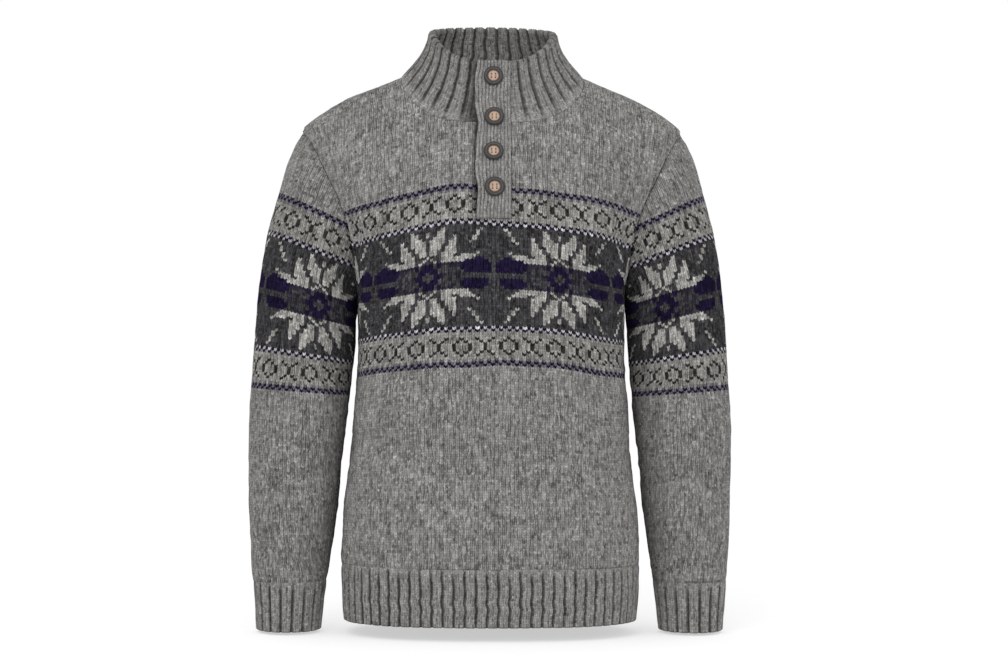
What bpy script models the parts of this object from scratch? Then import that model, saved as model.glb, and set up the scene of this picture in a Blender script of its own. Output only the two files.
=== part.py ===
"""A knitted henley sweater, filled out as if worn: front, back, sleeves, ribbed collar,
ribbed welts and cuffs, a button band over an under band, and four sewn-on buttons.

Metres, +Z up. The front faces -Y and the wearer's left is +X. The origin is midway between
the two points where the shoulder seams meet the collar, which is where the wearer's
shoulders hold the garment up.
"""

import math
from collections import namedtuple

import bpy
import numpy as np

MM = 0.001

# Driving sizes, in millimetres
WALL = 3.0  # thickness of the plain knit
SEAM_GAP = 0.3  # between two pieces that are sewn together
ARMHOLE_GAP = 0.4  # at the armholes, whose faceted walls lean
SECTION_POWER = 2.5  # 2 is an ellipse, more is squarer
HEM_Z = -690.0
WELT_TOP_Z = -620.0
ARMPIT_Z = -285.0
SHOULDER_POINT_Z = -69.0
FRONT_NECK_DROP = 67.0
BACK_NECK_DROP = 8.0

# The body at each level: where the panel's edge lies (side seam, armhole or shoulder seam),
# and how far the middle of the front and of the back stand out from the shoulder plane.
Level = namedtuple("Level", "z edge_x front_edge_y back_edge_y front_depth back_depth")
BODY_LEVELS = [
    Level(HEM_Z, 186.0, 0, 0, 117, 112),
    Level(-655.0, 188.0, 0, 0, 119, 113),
    Level(WELT_TOP_Z, 188.5, 0, 0, 121, 113),
    Level(-559.0, 187.0, 0, 0, 120, 109),
    Level(-488.0, 179.0, 0, 0, 119, 105),
    Level(-417.0, 173.0, 0, 0, 122, 106),
    Level(-345.0, 169.5, 0, 0, 126, 110),
    Level(ARMPIT_Z, 170.5, 0, 0, 129, 116),
    Level(-275.0, 171.0, 11, 13, 129, 116),
    Level(-250.0, 173.0, 27, 32, 129, 118),
    Level(-220.0, 177.0, 40, 47, 127, 120),
    Level(-190.0, 183.0, 48, 56, 124, 121),
    Level(-165.0, 192.0, 51, 57, 121, 121),
    Level(-136.0, 206.0, 50, 54, 116, 118),
    Level(-105.0, 221.0, 42, 44, 106, 110),
    Level(-85.0, 232.0, 27, 28, 97, 104),
    Level(SHOULDER_POINT_Z, 241.5, 0, 0, 89, 98),
    Level(-61.0, 234.0, 0, 0, 85, 95),
    Level(-46.0, 214.0, 0, 0, 77, 88),
    Level(-30.0, 186.0, 0, 0, 68, 80),
    Level(-15.0, 151.0, 0, 0, 58, 71),
    Level(0.0, 117.0, 0, 0, 45, 60),
]
ARMPIT_LEAN = (0.0, 0.0, -1.0)  # which way the cloth faces at the left armpit
SHOULDER_LEAN = (0.55, 0.0, 0.835)  # and at the left shoulder point
BODY_ROWS = 13  # rows of faces between the welt and the armpit
ARMHOLE_ROWS = 10  # rows from the armpit to the shoulder point
SLIT_ROW = BODY_ROWS + 6  # the placket opening starts at this row
SHOULDER_EDGE_LEVELS = [-54.0, -40.0, -27.0, -14.0, 0.0]
SIDE_COLUMNS = 10  # columns of faces on each side of the placket opening

# The sleeve's rings, from the armhole down: the outer and inner ends of each ring in the
# shoulder plane, and how far the ring reaches to the front and to the back.
Ring = namedtuple("Ring", "outer_x outer_z inner_x inner_z front_y back_y roundness")
SLEEVE_RINGS = [
    Ring(241.5, -69, 170.5, -285, 51, 57, 0.0),
    Ring(253.0, -90, 171.6, -288, 53, 58, 0.2),
    Ring(264.0, -117, 172.2, -292, 55, 59, 0.4),
    Ring(274.0, -152, 172.8, -297, 57, 60, 0.6),
    Ring(283.0, -188, 173.2, -303, 59, 60, 0.75),
    Ring(291.0, -230, 173.6, -312, 60, 60, 0.9),
    Ring(297.0, -277, 174.4, -328, 60, 59, 1.0),
    Ring(301.5, -330, 176.2, -354, 60, 57, 1.0),
    Ring(304.0, -375, 179.0, -387, 60, 55, 1.0),
    Ring(306.5, -425, 183.5, -428, 60, 52, 1.0),
    Ring(307.5, -490, 190.5, -490, 59, 46, 1.0),
    Ring(307.0, -545, 196.0, -545, 58, 40, 1.0),
    Ring(305.0, -600, 203.0, -600, 55, 33, 1.0),
    Ring(302.0, -643, 209.0, -643, 52, 27, 1.0),
]
CUFF_RINGS = [
    Ring(302.0, -643, 209.0, -643, 52, 27, 1.0),
    Ring(299.0, -674, 213.0, -674, 50, 21, 1.0),
    Ring(297.0, -704, 216.0, -704, 49, 17, 1.0),
]
RING_POINTS = 2 * ARMHOLE_ROWS
SLEEVE_ROWS = 21  # rows of faces down the sleeve
CUFF_ROWS = 2

# The largest soft folds: troughs along a line from (x, z) to (end_x, end_z) in the cloth of the
# front (-1) or the back (1), half as deep at half_width from the line.
Fold = namedtuple("Fold", "side x z end_x end_z half_width depth")
FOLDS = [
    Fold(-1, 168, -214, 118, -266, 15, 6.0),
    Fold(-1, -170, -210, -124, -258, 14, 5.0),
    Fold(-1, 148, -318, 136, -432, 16, 4.0),
    Fold(-1, -150, -306, -141, -398, 15, 3.5),
    Fold(-1, 166, -486, 92, -508, 17, 3.0),
    Fold(-1, -168, -462, -84, -494, 16, 3.5),
    Fold(1, 158, -222, 92, -284, 17, 6.0),
    Fold(1, -160, -230, -98, -278, 16, 6.5),
    Fold(1, 4, -318, -3, -452, 30, 6.0),
    Fold(1, 152, -404, 58, -446, 18, 4.5),
    Fold(1, -150, -388, -64, -436, 17, 4.0),
    Fold(1, 150, -512, 78, -530, 16, 3.5),
    Fold(-1, 184, -268, 238, -222, 14, 5.0),
    Fold(-1, -184, -262, -242, -226, 14, 5.5),
    Fold(-1, 186, -376, 266, -398, 14, 5.0),
    Fold(-1, -188, -392, -260, -372, 14, 4.5),
    Fold(-1, 204, -520, 286, -498, 14, 4.0),
    Fold(-1, -206, -500, -280, -526, 14, 4.0),
    Fold(-1, 214, -604, 296, -612, 12, 3.0),
    Fold(-1, -216, -612, -294, -600, 12, 3.5),
    Fold(1, 186, -272, 244, -236, 14, 5.5),
    Fold(1, -186, -266, -240, -240, 14, 5.0),
    Fold(1, 200, -420, 290, -396, 16, 5.0),
    Fold(1, -202, -402, -288, -424, 16, 5.0),
    Fold(1, 212, -560, 290, -574, 14, 3.5),
    Fold(1, -210, -572, -292, -556, 14, 3.5),
]
FOLD_FADE = 30.0  # a fold fades out over this distance from the side seams

# The collar's upper edge, by the angle round the neck from the middle of the front.
Rim = namedtuple("Rim", "angle x y z")
COLLAR_RIM = [
    Rim(0, 0, -71, 12.5),
    Rim(30, 41, -62, 19.5),
    Rim(60, 71, -36, 38),
    Rim(90, 82, -2, 58),
    Rim(120, 71, 31, 67),
    Rim(150, 41, 55, 73),
    Rim(180, 0, 63, 75),
]
COLLAR_ROWS = 3
COLLAR_FLARE = 1.7  # how strongly the collar spreads towards its seam
OPENING_HALF = 17.5  # half the width of the placket opening
COLLAR_RIBS = 31
COLLAR_RIB_HEIGHT = 1.2  # on each side of the wall

WELT_RIBS = 37  # on the front, and again on the back
WELT_RIB_HEIGHT = 2.0
CUFF_RIBS = 18
CUFF_RIB_HEIGHT = 1.8
# One rib, as shares of its width: a narrow groove, then a flat top
RIB_PLACES = (0.0, 0.2, 0.8)
RIB_HEIGHTS = (0.0, 1.0, 1.0)

BAND_HALF = 21.5
BAND_BOTTOM_Z = -189.0
BAND_TOP_Z = 15.0
BAND_ROWS = 14
BAND_COLUMNS = 4
UNDER_BAND_HALF = 20.0
UNDER_BAND_BOTTOM_Z = -184.0
UNDER_BAND_TOP_Z = 11.5

BUTTON_HEIGHTS = (-9.0, -63.0, -107.5, -151.5)
BUTTON_RADIUS = 12.3
BUTTON_STEPS = 20
# From the middle of its face, over the rim and back under it: share of the radius, height
BUTTON_OUTLINE = [(0, 2.3), (0.55, 2.3), (0.62, 3.6), (0.86, 4.0), (1, 2.6), (0.93, 0.7), (0.6, 0), (0, 0)]

WOOL_GREY = (0.26, 0.26, 0.25, 1.0)
RIB_GREY = (0.23, 0.23, 0.22, 1.0)
HORN_BROWN = (0.09, 0.05, 0.035, 1.0)

FRONT, BACK = -1, 1


def smooth(stations, values, at):
    """Values between stations on a curve that never overshoots them."""
    order = np.argsort(stations)
    x = np.array(stations, float)[order]
    y = np.array(values, float)[order]
    steep = np.diff(y) / np.diff(x)
    slope = np.zeros(len(x))
    slope[0], slope[-1] = steep[0], steep[-1]
    same_way = steep[:-1] * steep[1:] > 0
    both = np.where(same_way, steep[:-1] + steep[1:], 1.0)
    slope[1:-1] = np.where(same_way, 2 * steep[:-1] * steep[1:] / both, 0.0)
    at = np.clip(np.asarray(at, float), x[0], x[-1])
    k = np.clip(np.searchsorted(x, at) - 1, 0, len(x) - 2)
    width = x[k + 1] - x[k]
    t = (at - x[k]) / width
    start = (1 + 2 * t) * (1 - t) ** 2 * y[k] + t * (1 - t) ** 2 * width * slope[k]
    end = t * t * (3 - 2 * t) * y[k + 1] + t * t * (t - 1) * width * slope[k + 1]
    return start + end


def body_column(name, z):
    stations = [level.z for level in BODY_LEVELS]
    return smooth(stations, [getattr(level, name) for level in BODY_LEVELS], z)


def section(z, side):
    """The depth of the rounded section at z, and the share of its width that the panel has."""
    name = "front" if side == FRONT else "back"
    depth = body_column(name + "_depth", z)
    edge_y = body_column(name + "_edge_y", z)
    return depth, (1 - (edge_y / depth) ** SECTION_POWER) ** (1 / SECTION_POWER)


def body_y(x, z, side):
    """How far forward or back the cloth lies at x and z."""
    depth, width_share = section(z, side)
    inside = np.clip(np.abs(x) * width_share / body_column("edge_x", z), 0, 1)
    return side * depth * (1 - inside**SECTION_POWER) ** (1 / SECTION_POWER)


def column_x(share, edge_level, z, side):
    """How far out the columns of a row lie: evenly spaced round its rounded section."""
    width_share = section(edge_level, side)[1]
    edge_angle = math.asin(width_share ** (SECTION_POWER / 2))
    reach = (np.sin(share * edge_angle) / math.sin(edge_angle)) ** (2 / SECTION_POWER)
    return OPENING_HALF + (body_column("edge_x", z) - OPENING_HALF) * reach


def column_places():
    """Each column's side of the middle, and its share of the way to the panel's edge."""
    shares = np.linspace(0, 1, SIDE_COLUMNS + 1)
    return np.r_[-np.ones(len(shares)), np.ones(len(shares))], np.r_[shares[::-1], shares]


def panel_points(side):
    """The outer face of the front or the back, as rows of points from welt to neckline."""
    turn = np.linspace(0, math.pi, ARMHOLE_ROWS + 1)
    armhole = (ARMPIT_Z + SHOULDER_POINT_Z) / 2 - (SHOULDER_POINT_Z - ARMPIT_Z) / 2 * np.cos(turn)
    lower = np.linspace(WELT_TOP_Z + SEAM_GAP, ARMPIT_Z, BODY_ROWS + 1)
    edge_levels = np.r_[lower[:-1], armhole, SHOULDER_EDGE_LEVELS]
    drop = FRONT_NECK_DROP if side == FRONT else BACK_NECK_DROP
    sign, share = column_places()
    neck_x = column_x(share, 0.0, 0.0, side)
    rows = []
    for edge_z in edge_levels:
        neck_share = max(0.0, 1 - edge_z / ARMPIT_Z)
        fall = drop * np.cos(share * math.pi / 2)
        z = edge_z - neck_share * fall
        widest = min(edge_z, SHOULDER_POINT_Z)
        x = column_x(share, widest, np.minimum(z, widest), side)
        if edge_z > SHOULDER_POINT_Z:
            left = (body_column("edge_x", edge_z) - neck_x[-1]) / (x[-1] - neck_x[-1])
            x = neck_x + (x - neck_x) * left
        rows.append(np.stack([sign * x, body_y(x, z, side), z], axis=-1))
    points = np.array(rows)
    if side == FRONT:
        points[..., 1] = np.minimum(points[..., 1], -SEAM_GAP / 2)
    else:
        points[..., 1] = np.maximum(points[..., 1], SEAM_GAP / 2)
    return points


def ring_points(ring, side, armhole_shape, angles):
    """One ring round a sleeve: angle 0 is its outer end, and the front comes first."""
    bend, armhole_swell = armhole_shape
    along = (1 - np.cos(angles)) / 2
    x = ring.outer_x + (ring.inner_x - ring.outer_x) * along + (1 - ring.roundness) * bend
    z = ring.outer_z + (ring.inner_z - ring.outer_z) * along
    depth = np.where(angles <= math.pi, -ring.front_y, ring.back_y)
    swell = (1 - ring.roundness) * armhole_swell + ring.roundness * np.abs(np.sin(angles))
    return np.stack([side * x, depth * swell, z], axis=-1)


def armhole_outline(angles):
    """How far the armhole bends off a straight slant, and its share of the greatest depth."""
    first = SLEEVE_RINGS[0]
    along = (1 - np.cos(angles)) / 2
    z = first.outer_z + (first.inner_z - first.outer_z) * along
    bend = body_column("edge_x", z) - (first.outer_x + (first.inner_x - first.outer_x) * along)
    front = body_column("front_edge_y", z) / first.front_y
    back = body_column("back_edge_y", z) / first.back_y
    return bend, np.where(angles <= math.pi, front, back)


def spaced_rings(rings, rows):
    """Rings at even distances down the outer edge, on smooth curves through the table's."""
    table = np.array(rings, float)
    steps = np.hypot(np.diff(table[:, 0]), np.diff(table[:, 1]))
    down = np.r_[0, np.cumsum(steps)]
    at = np.linspace(0, down[-1], rows + 1)
    columns = [smooth(down, table[:, k], at) for k in range(table.shape[1])]
    return [Ring(*values) for values in zip(*columns)]


def tube_points(rings, rows, side, angles):
    shape = armhole_outline(angles)
    return np.array([ring_points(ring, side, shape, angles) for ring in spaced_rings(rings, rows)])


def fold_depth(points):
    """How far each point is pressed in by the soft folds."""
    total = np.zeros(points.shape[:-1])
    for fold in FOLDS:
        run = np.array([fold.end_x - fold.x, fold.end_z - fold.z], float)
        start = points[..., (0, 2)] - (fold.x, fold.z)
        along = np.clip((start @ run) / (run @ run), 0, 1)
        away = np.linalg.norm(start - along[..., None] * run, axis=-1)
        fade = np.clip(fold.side * points[..., 1] / FOLD_FADE, 0, 1)
        total += fold.depth * fade * 0.5 ** ((away / fold.half_width) ** 2)
    return total[..., None]


def normals_of(points, closed, outward):
    """Unit normals of a grid of points, turned to the side that outward points to."""
    along = np.gradient(points, axis=0)
    if closed:
        across = np.roll(points, -1, axis=1) - np.roll(points, 1, axis=1)
    else:
        across = np.gradient(points, axis=1)
    normals = unit(np.cross(across, along))
    turned = np.sign((normals * outward).sum(-1, keepdims=True))
    return normals * np.where(turned == 0, 1, turned)


def unit(vectors):
    return vectors / np.maximum(np.linalg.norm(vectors, axis=-1, keepdims=True), 1e-9)


def wall(name, outer, inner, colour, closed=False, opening=None):
    """A cloth wall lofted between sections: an outer and an inner sheet, joined at the edges.
    opening is (row, column): from that row up, that column of faces is left out."""
    rows, columns = outer.shape[:2]
    spans = columns if closed else columns - 1
    cells = {
        (i, j)
        for i in range(rows - 1)
        for j in range(spans)
        if opening is None or i < opening[0] or j != opening[1]
    }
    count = rows * columns

    def point(i, j, layer):
        return layer * count + i * columns + j % columns

    faces = []
    for i, j in sorted(cells):
        corners = [(i, j), (i, j + 1), (i + 1, j + 1), (i + 1, j)]
        faces.append([point(*c, 0) for c in corners])
        faces.append([point(*c, 1) for c in corners[::-1]])
        beside = [(i - 1, j), (i, j + 1), (i + 1, j), (i, j - 1)]
        for k, (row, column) in enumerate(beside):
            if (row, column % spans if closed else column) not in cells:
                a, b = corners[k], corners[(k + 1) % 4]
                # Both sides of a seam are split along the same diagonal, so they never cross
                low = outer[a[0], a[1] % columns, 2] <= outer[b[0], b[1] % columns, 2]
                quad = [point(*b, 0), point(*a, 0), point(*a, 1), point(*b, 1)]
                first, second = ((0, 1, 3), (1, 2, 3)) if not low else ((0, 1, 2), (0, 2, 3))
                faces.append([quad[k] for k in first])
                faces.append([quad[k] for k in second])
    mesh = bpy.data.meshes.new(name)
    both = np.concatenate([outer.reshape(-1, 3), inner.reshape(-1, 3)]) * MM
    mesh.from_pydata(both.tolist(), [], faces)
    return finish(name, mesh, colour)


def finish(name, mesh, colour, roughness=0.95):
    """Closes a mesh into a solid with its faces outwards, and gives it its material."""
    obj = bpy.data.objects.new(name, mesh)
    SWEATER.objects.link(obj)
    bpy.context.view_layer.objects.active = obj
    obj.select_set(True)
    bpy.ops.object.mode_set(mode="EDIT")
    bpy.ops.mesh.select_all(action="SELECT")
    bpy.ops.mesh.delete_loose()
    bpy.ops.mesh.select_all(action="SELECT")
    bpy.ops.mesh.normals_make_consistent(inside=False)
    bpy.ops.object.mode_set(mode="OBJECT")
    obj.select_set(False)
    mesh.shade_smooth()
    mesh.set_sharp_from_angle(angle=math.radians(50))
    mesh.materials.append(finish_of(colour, roughness))
    return obj


def finish_of(colour, roughness):
    name = "finish_%03d_%03d" % (round(colour[0] * 999), round(roughness * 100))
    if name in bpy.data.materials:
        return bpy.data.materials[name]
    material = bpy.data.materials.new(name)
    material.use_nodes = True
    shader = material.node_tree.nodes["Principled BSDF"]
    shader.inputs["Base Color"].default_value = colour
    shader.inputs["Roughness"].default_value = roughness
    shader.inputs["Metallic"].default_value = 0.0
    return material


def rib_columns(ribs, closed):
    """Where the points of a row of ribs lie, from 0 to 1, and how high each one stands."""
    places = (np.arange(ribs)[:, None] + np.array(RIB_PLACES)).ravel() / ribs
    heights = np.tile(RIB_HEIGHTS, ribs)
    if closed:
        return places, heights
    return np.r_[places, 1.0], np.r_[heights, RIB_HEIGHTS[0]]


def between_points(points, knots, at):
    """Points on a polyline, at values of the parameter that its knots carry."""
    return np.stack([np.interp(at, knots, points[:, k]) for k in range(3)], axis=-1)


def seam_directions(front, back, sleeves):
    """Which way the cloth faces at each point, the same for both pieces at an armhole seam."""
    middle = np.array([0.0, 0.0, 1.0])
    grids = {"front": front, "back": back}
    normals = {}
    for name, points in grids.items():
        normals[name] = normals_of(points, False, points * (1, 1, 0) + middle)
    first = BODY_ROWS
    last = BODY_ROWS + ARMHOLE_ROWS
    for side, points in sleeves.items():
        centre = points.mean(axis=1, keepdims=True)
        normals[side] = normals_of(points, True, points - centre)
        edge = -1 if side > 0 else 0
        for row in range(first, last + 1):
            k = last - row
            for name, ring_place in (("front", k), ("back", -k % RING_POINTS)):
                shared = unit(normals[name][row, edge] + normals[side][0, ring_place])
                if row == first:
                    shared = np.array(ARMPIT_LEAN) * (side, 1, 1)
                if row == last:
                    shared = np.array(SHOULDER_LEAN) * (side, 1, 1)
                normals[name][row, edge] = shared
                normals[side][0, ring_place] = shared
    for name in grids:
        for edge in (0, -1):
            seam_rows = [*range(first), *range(last + 1, len(front))]
            normals[name][seam_rows, edge, 1] = 0
        normals[name][0, :, 2] = 0
        normals[name] = unit(normals[name])
    for side in sleeves:
        normals[side][-1, :, 2] = 0
        normals[side] = unit(normals[side])
    return normals


def collar_frame(front, back, normals):
    """The neckline from one side of the opening round the back to the other, by angle."""
    start = math.degrees(math.asin(OPENING_HALF / COLLAR_RIM[3].x))
    share = np.linspace(0, 1, SIDE_COLUMNS + 1)
    half = start + (90 - start) * share
    right = SIDE_COLUMNS + 1
    knots = np.r_[half, (180 - half)[::-1][1:], (180 + half)[:-1], (360 - half)[::-1]]
    base, lean = (
        np.concatenate([f[-1, right:], b[-1, right:][::-1][1:], b[-1, :right][::-1][:-1], f[-1, :right]])
        for f, b in ((front, back), (normals["front"], normals["back"]))
    )
    return knots, base, unit(lean), start


def rim_point(angle):
    """A point of the collar's upper edge, at an angle from the middle of the front."""
    folded = np.where(angle > 180, 360 - angle, angle)
    stations = [rim.angle for rim in COLLAR_RIM]
    x, y, z = (smooth(stations, [getattr(rim, axis) for rim in COLLAR_RIM], folded) for axis in "xyz")
    return np.stack([np.where(angle > 180, -x, x), y, z], axis=-1)


def collar_surface(knots, base, angle, height):
    """The collar's middle surface: height runs from 0 at the seam to 1 at the upper edge."""
    low = between_points(base, knots, angle)
    high = rim_point(angle)
    spread = 1 - (1 - height) ** COLLAR_FLARE
    return np.stack(
        [
            low[..., 0] + (high[..., 0] - low[..., 0]) * spread,
            low[..., 1] + (high[..., 1] - low[..., 1]) * spread,
            low[..., 2] + (high[..., 2] - low[..., 2]) * height,
        ],
        axis=-1,
    )


def make_collar(knots, base, lean, start):
    places, heights = rib_columns(COLLAR_RIBS, closed=False)
    angles = start + (360 - 2 * start) * places
    levels = np.linspace(0, 1, COLLAR_ROWS + 1)
    points = np.array([collar_surface(knots, base, angles, level) for level in levels])
    normals = normals_of(points, False, points * (1, 1, 0))
    normals[0] = unit(between_points(lean, knots, angles))
    up = unit(points[1] - points[0])
    points[0] += up * 2 * SEAM_GAP
    relief = COLLAR_RIB_HEIGHT * heights[None, :, None] * np.array([0.4, 1, 1, 1])[:, None, None]
    outer = points + normals * relief
    inner = points - normals * (WALL + relief)
    return wall("collar", outer, inner, RIB_GREY)


def make_welt(name, side):
    """A ribbed welt: the lowest band of the front or the back."""
    places, heights = rib_columns(WELT_RIBS, closed=False)
    angle = (places - 0.5) * math.pi
    rows_z = (WELT_TOP_Z, HEM_Z)
    rows = []
    for z in rows_z:
        x = np.sign(angle) * np.abs(np.sin(angle)) ** (2 / SECTION_POWER) * body_column("edge_x", z)
        y = side * np.maximum(np.abs(body_y(x, z, side)), SEAM_GAP / 2)
        rows.append(np.stack([x, y, np.full_like(x, z)], axis=-1))
    points = np.array(rows)
    normals = normals_of(points, False, points * (1, 1, 0))
    normals[..., 2] = 0
    normals[:, (0, -1), 1] = 0
    normals = unit(normals)
    outer = points + normals * WELT_RIB_HEIGHT * (heights[None, :, None] - 0.5)
    inner = points - normals * (WALL + WELT_RIB_HEIGHT / 2)
    return wall(name, outer, inner, RIB_GREY)


def make_cuff(name, side):
    places, heights = rib_columns(CUFF_RIBS, closed=True)
    angles = places * 2 * math.pi
    points = tube_points(CUFF_RINGS, CUFF_ROWS, side, angles)
    points[0, :, 2] -= SEAM_GAP
    centre = points.mean(axis=1, keepdims=True)
    normals = normals_of(points, True, points - centre)
    normals[..., 2] = 0
    normals = unit(normals)
    outer = points + normals * CUFF_RIB_HEIGHT * (heights[None, :, None] - 0.5)
    inner = points - normals * (WALL + CUFF_RIB_HEIGHT / 2)
    return wall(name, outer, inner, RIB_GREY, closed=True)


def front_face(x, z):
    """The outermost cloth at the middle of the front: the panel, then the collar above it."""
    panel = np.array([x, body_y(x, z, FRONT), z])
    if z <= -FRONT_NECK_DROP:
        return panel
    height = (z + FRONT_NECK_DROP) / (COLLAR_RIM[0].z + FRONT_NECK_DROP)
    spread = 1 - (1 - min(height, 1)) ** COLLAR_FLARE
    seam_y = body_y(x, -FRONT_NECK_DROP, FRONT)
    rim_y = COLLAR_RIM[0].y * math.sqrt(1 - (x / COLLAR_RIM[3].x) ** 2)
    return np.array([x, seam_y + (rim_y - seam_y) * spread, z])


def strip_points(half_width, bottom, top):
    heights = np.linspace(bottom, top, BAND_ROWS + 1)
    across = np.linspace(-half_width, half_width, BAND_COLUMNS + 1)
    return np.array([[front_face(x, z) for x in across] for z in heights])


def make_bands():
    """The button band lies on the opening's edges, and the under band closes it from behind."""
    points = strip_points(BAND_HALF, BAND_BOTTOM_Z, BAND_TOP_Z)
    normals = normals_of(points, False, points * (0, 1, 0))
    over_ribs = np.clip((points[..., 2:] + FRONT_NECK_DROP + 20) / 20, 0, 1)
    lift = 2 * SEAM_GAP + over_ribs * (COLLAR_RIB_HEIGHT + SEAM_GAP)
    inner = points + normals * lift
    outer = inner + normals * WALL
    wall("button_band", outer, inner, RIB_GREY)
    behind = strip_points(UNDER_BAND_HALF, UNDER_BAND_BOTTOM_Z, UNDER_BAND_TOP_Z)
    facing = normals_of(behind, False, behind * (0, 1, 0))
    over_ribs = np.clip((behind[..., 2:] + FRONT_NECK_DROP + 20) / 20, 0, 1)
    sink = WALL + 2 * SEAM_GAP + over_ribs * (COLLAR_RIB_HEIGHT + 3 * SEAM_GAP)
    wall("under_band", behind - facing * sink, behind - facing * (sink + WALL), RIB_GREY)
    return outer, normals


def make_button(number, height, band, normals):
    """A turned button with a raised rim and a sunk middle, on the face of the band."""
    middle = BAND_COLUMNS // 2
    line = band[:, middle]
    place = between_points(line, line[:, 2], height)
    lean = unit(between_points(normals[:, middle], line[:, 2], height))
    mesh = bpy.data.meshes.new("button_%d" % number)
    verts = [(BUTTON_RADIUS * share * MM, 0, z * MM) for share, z in BUTTON_OUTLINE]
    mesh.from_pydata(verts, [(k, k + 1) for k in range(len(verts) - 1)], [])
    obj = bpy.data.objects.new("button_%d" % number, mesh)
    SWEATER.objects.link(obj)
    turn = obj.modifiers.new("turn", "SCREW")
    turn.axis = "Z"
    turn.angle = 2 * math.pi
    turn.steps = turn.render_steps = BUTTON_STEPS
    turn.use_merge_vertices = True
    turn.merge_threshold = 0.00005
    obj.location = (place + lean * 1.5 * SEAM_GAP) * MM
    obj.rotation_euler = (math.atan2(-lean[1], lean[2]), 0, 0)
    mesh.materials.append(finish_of(HORN_BROWN, 0.35))


for leftover in list(bpy.data.objects):
    bpy.data.objects.remove(leftover)
SWEATER = bpy.data.collections.new("henley_sweater")
bpy.context.scene.collection.children.link(SWEATER)

front_points = panel_points(FRONT)
back_points = panel_points(BACK)
ring_angles = np.arange(RING_POINTS) * 2 * math.pi / RING_POINTS
sleeve_points = {
    side: tube_points(SLEEVE_RINGS, SLEEVE_ROWS, side, ring_angles) for side in (1, -1)
}
seam_normals = seam_directions(front_points, back_points, sleeve_points)

front_outer = front_points - seam_normals["front"] * fold_depth(front_points)
back_outer = back_points - seam_normals["back"] * fold_depth(back_points)
wall(
    "front",
    front_outer,
    front_outer - seam_normals["front"] * WALL,
    WOOL_GREY,
    opening=(SLIT_ROW, SIDE_COLUMNS),
)
wall("back", back_outer, back_outer - seam_normals["back"] * WALL, WOOL_GREY)
for side, name in ((1, "left"), (-1, "right")):
    outer = sleeve_points[side] - seam_normals[side] * fold_depth(sleeve_points[side])
    seam = np.roll(outer[0], -1, axis=0) - np.roll(outer[0], 1, axis=0)
    off = unit(np.cross(seam, seam_normals[side][0]))
    outer[0] += off * np.sign(off[:, :1]) * side * ARMHOLE_GAP
    wall("sleeve_" + name, outer, outer - seam_normals[side] * WALL, WOOL_GREY, closed=True)
    make_cuff("cuff_" + name, side)
make_welt("front_welt", FRONT)
make_welt("back_welt", BACK)
neck_knots, neck_base, neck_lean, neck_start = collar_frame(front_outer, back_outer, seam_normals)
make_collar(neck_knots, neck_base, neck_lean, neck_start)
band_face, band_normals = make_bands()
for number, height in enumerate(BUTTON_HEIGHTS, start=1):
    make_button(number, height, band_face, band_normals)
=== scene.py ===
import math

import bmesh
import bpy
import numpy as np

from mathutils import Matrix


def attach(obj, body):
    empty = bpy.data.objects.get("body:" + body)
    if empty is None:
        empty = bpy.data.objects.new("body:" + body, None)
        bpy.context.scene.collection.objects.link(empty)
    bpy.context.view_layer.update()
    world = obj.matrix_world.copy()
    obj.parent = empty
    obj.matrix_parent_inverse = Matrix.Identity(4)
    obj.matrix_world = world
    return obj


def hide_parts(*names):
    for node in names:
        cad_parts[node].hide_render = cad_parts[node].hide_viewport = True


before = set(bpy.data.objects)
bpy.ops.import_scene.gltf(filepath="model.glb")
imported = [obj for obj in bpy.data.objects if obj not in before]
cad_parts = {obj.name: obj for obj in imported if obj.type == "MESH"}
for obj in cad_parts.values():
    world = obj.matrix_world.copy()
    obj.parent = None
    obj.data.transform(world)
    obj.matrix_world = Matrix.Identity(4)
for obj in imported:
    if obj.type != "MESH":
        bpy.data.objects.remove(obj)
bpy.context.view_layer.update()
bpy.ops.object.select_all(action="DESELECT")

# ---------------------------------------------------------------------------------------------
# The photographer's set: a white sweep under a wide soft sky, a large soft light high on the
# left and a weaker one low on the right, and a long lens level with the garment's waist.

FLOOR_Z = -0.7085  # a few millimetres under the cuffs
sweep_white = bpy.data.materials.new("sweep_white")
sweep_white.use_nodes = True
for socket, value in (
    ("Base Color", (0.47, 0.47, 0.47, 1)), ("Emission Color", (1, 1, 1, 1)),
    ("Emission Strength", 0.54), ("Roughness", 1.0), ("Specular IOR Level", 0.0),
):
    sweep_white.node_tree.nodes["Principled BSDF"].inputs[socket].default_value = value
bpy.ops.mesh.primitive_plane_add(size=30, location=(0, 0, FLOOR_Z))
floor = bpy.context.object
floor.name = "studio_floor"
floor.data.materials.append(sweep_white)

sky = bpy.data.worlds.new("studio_sky")
bpy.context.scene.world = sky
sky.use_nodes = True
sky.node_tree.nodes["Background"].inputs["Color"].default_value = (1, 1, 1, 1)
sky.node_tree.nodes["Background"].inputs["Strength"].default_value = 1.0

for name, place, aim, size, power in (
    ("key_light", (-0.9, -2.2, 1.5), (0, 0, -0.3), 1.6, 26.5),
    ("fill_light", (1.4, -2.2, 0.3), (0, 0, -0.35), 1.6, 9),
):
    bpy.ops.object.light_add(type="AREA", location=place)
    lamp = bpy.context.object
    lamp.name = name
    lamp.data.size = size
    lamp.data.energy = power
    reach = [a - p for a, p in zip(aim, place)]
    lamp.rotation_euler = (
        math.atan2(math.hypot(reach[0], reach[1]), -reach[2]),
        0,
        math.atan2(-reach[0], reach[1]),
    )

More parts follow.
